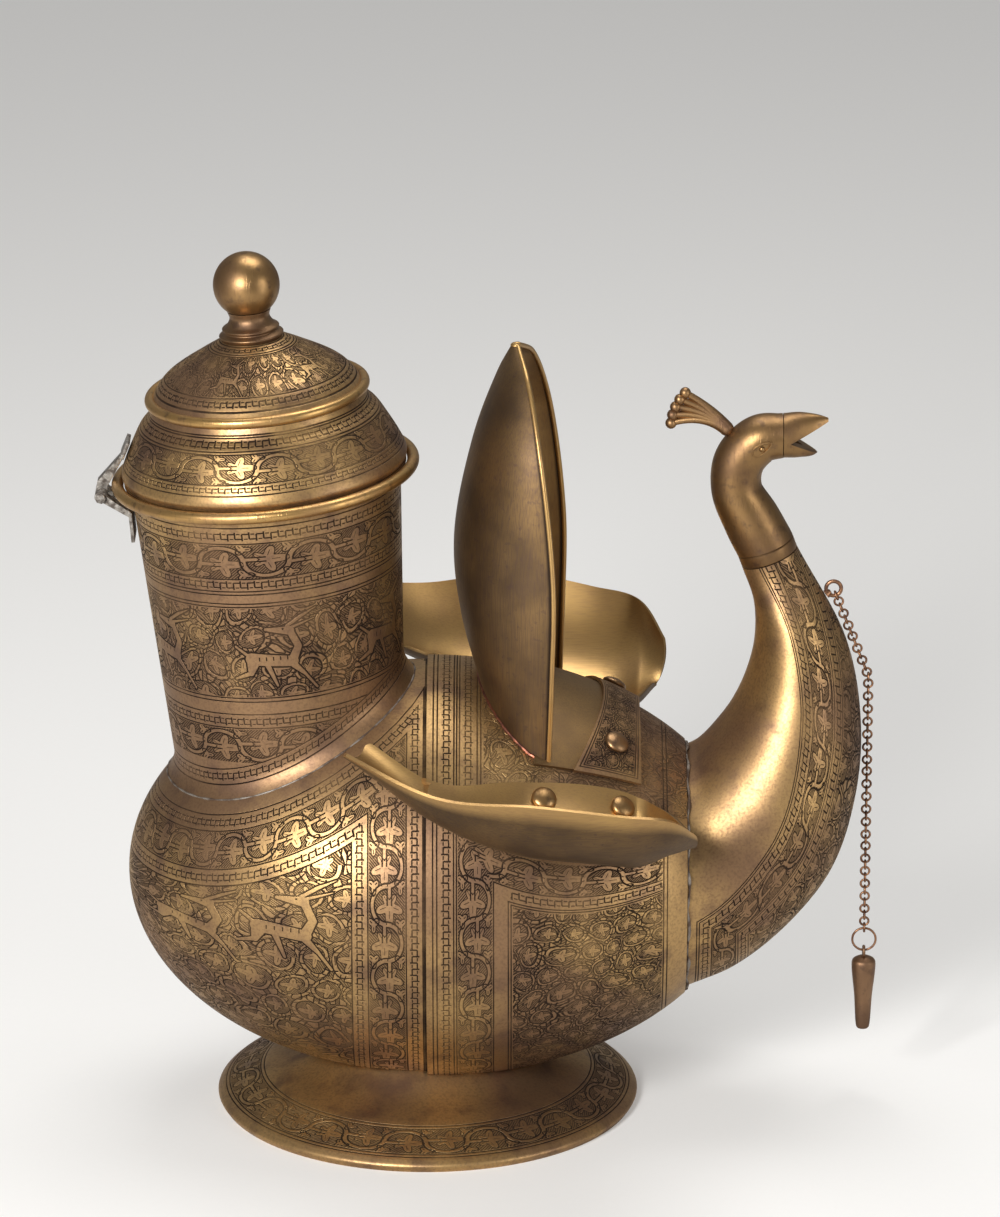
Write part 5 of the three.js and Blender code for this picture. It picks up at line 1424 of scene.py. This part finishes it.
def make_plume():
    edge, lip_shade = np.array(PLUME_LIP_SHADE).T
    inner = np.linspace(PLUME_INNER, 1 - PLUME_INNER, 65)
    t = np.concatenate([edge, inner, 1 - edge[::-1]])
    search = np.linspace(0, 0.6, 241)
    far_s, far_t = np.meshgrid(search, t, indexing="ij")
    points = plume_point(far_s, far_t)
    outside = np.hypot(points[..., 1], points[..., 2]) - body_radius(points[..., 0]) > 0.2
    first = search[np.argmax(outside, axis=0)]
    s = first[None, :] + (1 - first[None, :]) * np.linspace(0, 1, 97)[:, None]
    middle = plume_point(s, t[None, :] + 0 * s)
    half = grid_normals(middle) * WALL / 2
    front, rear = (middle + half, middle - half)
    if half[40, 36, 0] < 0:
        front, rear = rear, front
    gilt = np.concatenate([PLUME_GILDING + 0 * s, 0 * s], axis=1)
    # painted shade beside the lip wire, on both faces of the sheet
    dark = np.concatenate([lip_shade, 0 * inner, lip_shade[::-1]]) + 0 * s
    dark = np.concatenate([dark, dark[:, ::-1]], axis=1)
    leaf_mesh = leaf(front, rear)
    lip = np.concatenate([middle[:, 0], middle[-1, 12:-12:12], middle[::-1, -1]])
    lip_mesh = swept(lip, LIP_WIRE, 12)
    tongue = patch(TONGUE, FIT)
    lift = grid_normals(tongue) * WALL / 2
    lift *= np.sign(lift[..., 2:])
    tongue_mesh = leaf(tongue + lift, tongue - lift)
    rest = len(tongue_mesh[0]), len(lip_mesh[0])
    marks = {"gilt": np.concatenate([gilt.ravel(), np.full(rest[0], TONGUE_GILDING), np.ones(rest[1])]),
             "lip_shade": np.concatenate([dark.ravel(), np.zeros(sum(rest))])}
    plume = object_of("back_plume_leaf", together(leaf_mesh, tongue_mesh, lip_mesh), BIRD, marks)
    finish_piece(plume, PLUME_SHEET, "jug", ["back_plume"])
    make_root_copper(rear[0])
    make_strap()


def make_root_copper(root):
    """The old copper brazing that runs along the plume's root."""
    share = np.linspace(0, 1, len(root))
    lump = 0.75 + 0.18 * np.sin(37 * share) * np.sin(91 * share + 1)
    brazing = object_of("plume_brazing", swept(root, lump, 8), BIRD)
    finish_piece(brazing, BRAZING, "jug", None)


def make_strap():
    middle = patch(STRAP, 2 * FIT + WALL)
    lift = grid_normals(middle) * WALL / 2
    lift *= np.sign(lift[..., 2:])
    rows, columns = middle.shape[:2]
    along = np.linspace(0, STRAP[1] - STRAP[0], rows)[:, None] + np.zeros((1, columns))
    aside = np.linspace(-STRAP_REACH, STRAP_REACH, columns)[None, :] + np.zeros((rows, 1))
    marks = {name: np.concatenate([values, values[:, ::-1]], axis=1)
             for name, values in (("along", along), ("aside", aside))}
    strap = object_of("strap_sheet", leaf(middle + lift, middle - lift), BIRD, marks)
    finish_piece(strap, engraved("engraved_strap", strap_pattern), "jug", ["plume_strap"])


# Repeats made by Geometry Nodes: rivet heads and chain links, set on guide points along their aims

class Tree:
    """A Geometry Nodes tree with named inputs for its sizes and its finish."""

    def __init__(self, name, *sizes):
        self.tree = bpy.data.node_groups.new(name, "GeometryNodeTree")
        self.identifiers = {}
        self.socket("Guide", "NodeSocketGeometry")
        for size in sizes:
            self.socket(size, "NodeSocketFloat")
        self.socket("Finish", "NodeSocketMaterial")
        self.tree.interface.new_socket("Result", in_out="OUTPUT", socket_type="NodeSocketGeometry")
        self.inputs = self.node("NodeGroupInput")

    def socket(self, name, kind):
        made = self.tree.interface.new_socket(name, in_out="INPUT", socket_type=kind)
        self.identifiers[name] = made.identifier

    def node(self, kind, settings=None, inputs=None):
        node = self.tree.nodes.new(kind)
        for key, value in (settings or {}).items():
            setattr(node, key, value)
        for key, value in (inputs or {}).items():
            if isinstance(value, bpy.types.NodeSocket):
                self.tree.links.new(value, node.inputs[key])
            else:
                node.inputs[key].default_value = value
        return node

    def given(self, name):
        return self.inputs.outputs[name]

    def end(self, shape):
        """Sets the shape on every guide point, square to its aim, as one plain mesh with its finish."""
        aim = self.node("GeometryNodeInputNamedAttribute", {"data_type": "FLOAT_VECTOR"}, {"Name": "aim"})
        turn = self.node("FunctionNodeAlignRotationToVector", {"axis": "Z"},
                         {"Vector": aim.outputs["Attribute"]})
        points = self.node("GeometryNodeMeshToPoints", {}, {"Mesh": self.given("Guide")})
        copies = self.node("GeometryNodeInstanceOnPoints", {},
                           {"Points": points.outputs[0], "Instance": shape, "Rotation": turn.outputs[0]})
        real = self.node("GeometryNodeRealizeInstances", {}, {"Geometry": copies.outputs[0]})
        painted = self.node("GeometryNodeSetMaterial", {},
                            {"Geometry": real.outputs[0], "Material": self.given("Finish")})
        self.node("NodeGroupOutput", {}, {"Result": painted.outputs[0]})
        return self

    def apply(self, name, points, aims, place, **values):
        """A plain mesh object made by the tree on guide points."""
        item = object_of(name, (np.asarray(points, float), []), place)
        layer = item.data.attributes.new("aim", "FLOAT_VECTOR", "POINT")
        layer.data.foreach_set("vector", np.asarray(aims, np.float32).ravel())
        maker = item.modifiers.new(name, "NODES")
        maker.node_group = self.tree
        for key, value in values.items():
            maker[self.identifiers[key.replace("_", " ")]] = value
        return settle(item)


def link_tree():
    made = Tree("chain_links", "Link radius", "Wire radius")
    ring, wire = (made.node("GeometryNodeCurvePrimitiveCircle", {},
                            {"Resolution": sides, "Radius": made.given(name)}).outputs[0]
                  for sides, name in ((LINK_SIDES, "Link radius"), (WIRE_SIDES, "Wire radius")))
    link = made.node("GeometryNodeCurveToMesh", {}, {"Curve": ring, "Profile Curve": wire})
    return made.end(link.outputs[0])


def rivet_tree():
    made = Tree("rivet_heads", "Head radius", "Head height")
    dome = made.node("GeometryNodeMeshUVSphere", {}, {"Segments": 32, "Rings": 20, "Radius": 1.0})
    radius, height = made.given("Head radius"), made.given("Head height")
    size = made.node("ShaderNodeCombineXYZ", {}, {"X": radius, "Y": radius, "Z": height})
    head = made.node("GeometryNodeTransform", {}, {"Geometry": dome.outputs[0], "Scale": size.outputs[0]})
    return made.end(head.outputs[0])


def seat_on(surface, s, t, *setting):
    """A place on a sheet and the direction square to it, away from the body."""
    near = 1e-3

    def at(s_by, t_by):
        return surface(np.array([s + s_by]), np.array([t + t_by]), *setting)[0]

    place = at(0, 0)
    normal = np.cross(at(near, 0) - at(-near, 0), at(0, near) - at(0, -near))
    normal /= np.linalg.norm(normal)
    return place, normal * np.sign(normal @ (place * [0, 1, 1]))


def strap_seat(side):
    """A place on the strap for one of its rivets, and the direction square to it."""
    start, end, angle, bow = STRAP
    t = 0.5 + side * STRAP_RIVET_ASIDE
    rear = start + bow * (1 - (2 * t - 1) ** 2)
    u, turn = np.array((rear + end) / 2), np.array(math.radians(angle) * (2 * t - 1))
    return over_body(u, turn, 2 * FIT + 1.5 * WALL), body_normal(u, turn)


def make_rivets():
    heads = rivet_tree()
    sizes = {"Head_radius": RIVET_HEAD_RADIUS * MM, "Head_height": RIVET_HEAD_HEIGHT * MM}

    def set_rivet(name, place, normal, node, finish):
        seat = place + normal * (WALL / 2 + RIVET_REST)
        item = heads.apply(name, [seat], [normal], BIRD, Finish=finish, **sizes)
        finish_piece(item, finish, "jug", [node])

    for name, setting in WING_SETS.items():
        for end, share in zip(("rear", "front"), WING_RIVETS):
            seat = seat_on(wing_point, share, WING_RIVET_REACH, *setting)
            set_rivet(f"rivet_{name}_{end}", *seat, f"wing_rivet_{name}_{end}", RUBBED_BALL)
        set_rivet(f"strap_rivet_{name}", *strap_seat(setting[0]), f"plume_rivet_{name}", RUBBED_DARK)


# Chain and stopper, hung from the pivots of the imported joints

def pivot_of(joint):
    row = next(item for item in frame["joints"] if item["name"] == joint)
    return np.array(row["pos_m"]) / MM


def loop(middle, normal, radius, wire, steps=40):
    """A round wire loop."""
    angle = 2 * math.pi * np.arange(steps) / steps
    points = np.stack([radius * np.cos(angle), radius * np.sin(angle), 0 * angle], -1)
    turn = np.array(Vector((0, 0, 1)).rotation_difference(Vector(normal)).to_matrix())
    return swept(points @ turn.T + middle, wire, WIRE_SIDES, True)


def make_links(pivots):
    """The chain's runs: round links, each square to the next."""
    links = link_tree()
    sizes = {"Link_radius": LINK_RADIUS * MM, "Wire_radius": LINK_WIRE * MM}
    first_gaps = [EYE_RADIUS - EYE_WIRE - LINK_WIRE - FIT + LINK_RADIUS]
    first_gaps += [LINK_RADIUS - 2 * LINK_WIRE - FIT] * (CHAIN_RUNS - 1)
    for i, first in enumerate(first_gaps):
        away = pivots[i + 1] - pivots[i]
        length = np.linalg.norm(away)
        ahead = away / length
        count = round((length - first - LINK_RADIUS) / LINK_PITCH) + 1
        middles = pivots[i] + ahead * (first + LINK_PITCH * np.arange(count))[:, None]
        normals = [ACROSS, np.cross(ahead, ACROSS)]
        aims = [normals[(k + i + 1) % 2] for k in range(count)]
        run = links.apply(f"links_{i + 1}", middles, aims, ROW, Finish=COPPER, **sizes)
        finish_piece(run, COPPER, f"chain_{i + 1}", [f"chain_run_{i + 1}"])


def make_chain_eye(pivot):
    """The eye on the neck with its tapered stalk."""
    low = np.array(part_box("chain_eye")[0]) / MM
    foot = np.array([low[0] + EYE_STALK_INSET[0], 0, low[2] + EYE_STALK_INSET[1]])
    stalk = swept(np.linspace(foot, foot + (pivot - foot) * 0.55, 8), np.linspace(*EYE_STALK_RADII, 8), 14)
    holder = object_of("chain_holder", together(loop(pivot, ACROSS, EYE_RADIUS, EYE_WIRE), stalk))
    finish_piece(holder, COPPER, "jug", ["chain_eye"])


def make_stopper():
    """The ring at the chain's end and the tapered plug with its eye."""
    ring_middle = sum(np.array(corner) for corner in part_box("stopper_ring")) / 2 / MM
    ring = object_of("open_ring", loop(ring_middle, ACROSS, RING_RADIUS, RING_SLIM, 48))
    finish_piece(ring, COPPER, "ring", ["stopper_ring"])
    hang = pivot_of("stopper_swing")
    eye_middle = hang - [0, 0, PLUG_EYE_RADIUS - PLUG_EYE_WIRE - RING_WIRE - FIT]
    top = eye_middle[2] - PLUG_EYE_RADIUS
    tip = top - PLUG_LENGTH
    profile = smooth([(PLUG_TIP_RADIUS - 0.4, tip), (PLUG_TIP_RADIUS, tip + 0.6),
                      (0.75 * PLUG_TOP_RADIUS, top - 0.55 * PLUG_LENGTH), (PLUG_TOP_RADIUS, top - 2.6),
                      (PLUG_TOP_RADIUS - 0.5, top - 1.4), (2.2, top - 0.2)], 40)
    points, faces = turned([(0, tip), *profile, (0, top)], SMALL_SIDES)
    plug_eye = loop(eye_middle, (1, 0, 0), PLUG_EYE_RADIUS, PLUG_EYE_WIRE, 28)
    stopper = object_of("stopper_plug", together((points + [hang[0], 0, 0], faces), plug_eye))
    finish_piece(stopper, STOPPER_BRASS, "plug", ["stopper"])


def make_chain():
    pivots = [pivot_of(f"chain_swing_{i + 1}") for i in range(CHAIN_RUNS)] + [pivot_of("ring_swing")]
    make_links(pivots)
    make_chain_eye(pivots[0])
    make_stopper()


# Solder along the seams

def make_solder():
    angle = np.linspace(0, 2 * math.pi, 241)[:-1]
    radius = NECK_ROOT_RADIUS + SOLDER_PROUD
    forward = NECK_SEAM + 0.5 + 0.4 * np.sin(17 * angle)
    neck_path = np.stack([forward, radius * np.sin(angle), radius * np.cos(angle)], -1)
    neck_lump = 0.6 + 0.2 * np.sin(23 * angle) * np.sin(9 * angle + 1) + 0.12 * np.sin(41 * angle)
    ring = tower_foot_ring()[:-1]
    tower_path = ring[np.linspace(0, len(ring) - 1, len(angle)).astype(int)]
    tower_lump = 0.4 + 0.14 * np.sin(31 * angle) * np.sin(7 * angle + 2)
    seams = {"neck_seam_solder": (neck_path, neck_lump), "tower_solder": (tower_path, tower_lump)}
    for name, (path, lump) in seams.items():
        bead_of_solder = object_of(name, swept(path, lump, 8, True), BIRD)
        finish_piece(bead_of_solder, SOLDER, "jug", None)


# Studio

def make_floor():
    """A wide pale floor that glows a little for the camera alone."""
    half = FLOOR_HALF
    data = bpy.data.meshes.new("floor")
    corners = [(-half, -half, 0), (half, -half, 0), (half, half, 0), (-half, half, 0)]
    data.from_pydata(corners, [], [(0, 1, 2, 3)])
    paper = Finish("paper", 0.0)
    grain = paper.cloud(3, 2)
    seen = paper.node("ShaderNodeLightPath").outputs["Is Camera Ray"]
    tone = paper.blend(grain * 0.1, PAPER, PAPER_GRAIN)
    data.materials.append(paper.show(Base_Color=tone, Roughness=0.75 + 0.1 * grain, Emission_Strength=1.0,
                                     Emission_Color=paper.blend(seen, BLACK, PAPER_GLOW)))
    linked("floor", data)


def make_light():
    """Three soft lamps, and a grey sky that is pale for the camera."""
    for name, (place, aim, size, power) in LAMPS.items():
        lamp = bpy.data.lights.new(name, "AREA")
        lamp.shape = "RECTANGLE"
        lamp.size, lamp.size_y = size
        lamp.energy = power
        item = linked(name, lamp)
        item.location = place
        item.rotation_euler = (Vector(aim) - Vector(place)).to_track_quat("-Z", "Y").to_euler()
    world = bpy.data.worlds.new("studio")
    bpy.context.scene.world = world
    world.use_nodes = True
    nodes, links = world.node_tree.nodes, world.node_tree.links
    path = nodes.new("ShaderNodeLightPath")
    tone = nodes.new("ShaderNodeMix")
    tone.data_type = "RGBA"
    sockets = {socket.identifier: socket for socket in [*tone.inputs, *tone.outputs]}
    sockets["A_Color"].default_value = SKY
    sockets["B_Color"].default_value = SKY_SEEN
    links.new(path.outputs["Is Camera Ray"], sockets["Factor_Float"])
    links.new(sockets["Result_Color"], nodes["Background"].inputs["Color"])


def make_camera():
    lens = bpy.data.cameras.new("camera")
    lens.sensor_fit = "HORIZONTAL"
    lens.sensor_width = CAMERA_SENSOR
    lens.lens = CAMERA_LENS
    lens.clip_end = CAMERA_REACH
    camera = linked("camera", lens)
    away = Vector((0, -math.cos(CAMERA_PITCH), math.sin(CAMERA_PITCH)))
    camera.location = CAMERA_TARGET + CAMERA_DISTANCE * away
    camera.rotation_euler = (math.pi / 2 - CAMERA_PITCH, 0, 0)
    bpy.context.scene.camera = camera
    bpy.context.scene.view_settings.view_transform = "Standard"


# Finishes of the plain pieces
RUBBED = bright("rubbed_brass", (0.56, 0.34, 0.125, 1), TAN)
RUBBED_BALL = bright("rubbed_ball", (0.36, 0.215, 0.088, 1), (0.2, 0.116, 0.06, 1), 0.85, 0.3)
RUBBED_DARK = bright("rubbed_spool", (0.30, 0.178, 0.088, 1), UMBER, 0.8, 0.34)
RUBBED_HEAD = bright("rubbed_head", (0.31, 0.182, 0.076, 1), (0.155, 0.088, 0.048, 1), 0.85, 0.34)
STOPPER_BRASS = bright("stopper_brass", (0.29, 0.17, 0.095, 1), UMBER, 0.7, 0.4)
CREST_BRASS = bright("crest_brass", (0.34, 0.2, 0.088, 1), (0.13, 0.07, 0.052, 1), 0.9, 0.36)
COPPER = copper("brown_copper", (0.36, 0.19, 0.105, 1), (0.115, 0.06, 0.042, 1))
BRAZING = copper("copper_brazing", (0.33, 0.125, 0.075, 1), (0.12, 0.05, 0.036, 1))
TINNED = tinned()
SOLDER = solder()
WING_SHEET = sheet_brass("wing_sheet", (0.05, 1, 1))
PLUME_SHEET = sheet_brass("plume_sheet", (1, 1, 0.03))

make_body()
make_foot()
make_tower()
make_dome()
make_cap()
make_finial()
make_hinge()
neck_top = make_neck()
make_head(*neck_top)
make_wings()
make_plume()
make_rivets()
make_chain()
make_solder()
make_floor()
make_light()
make_camera()
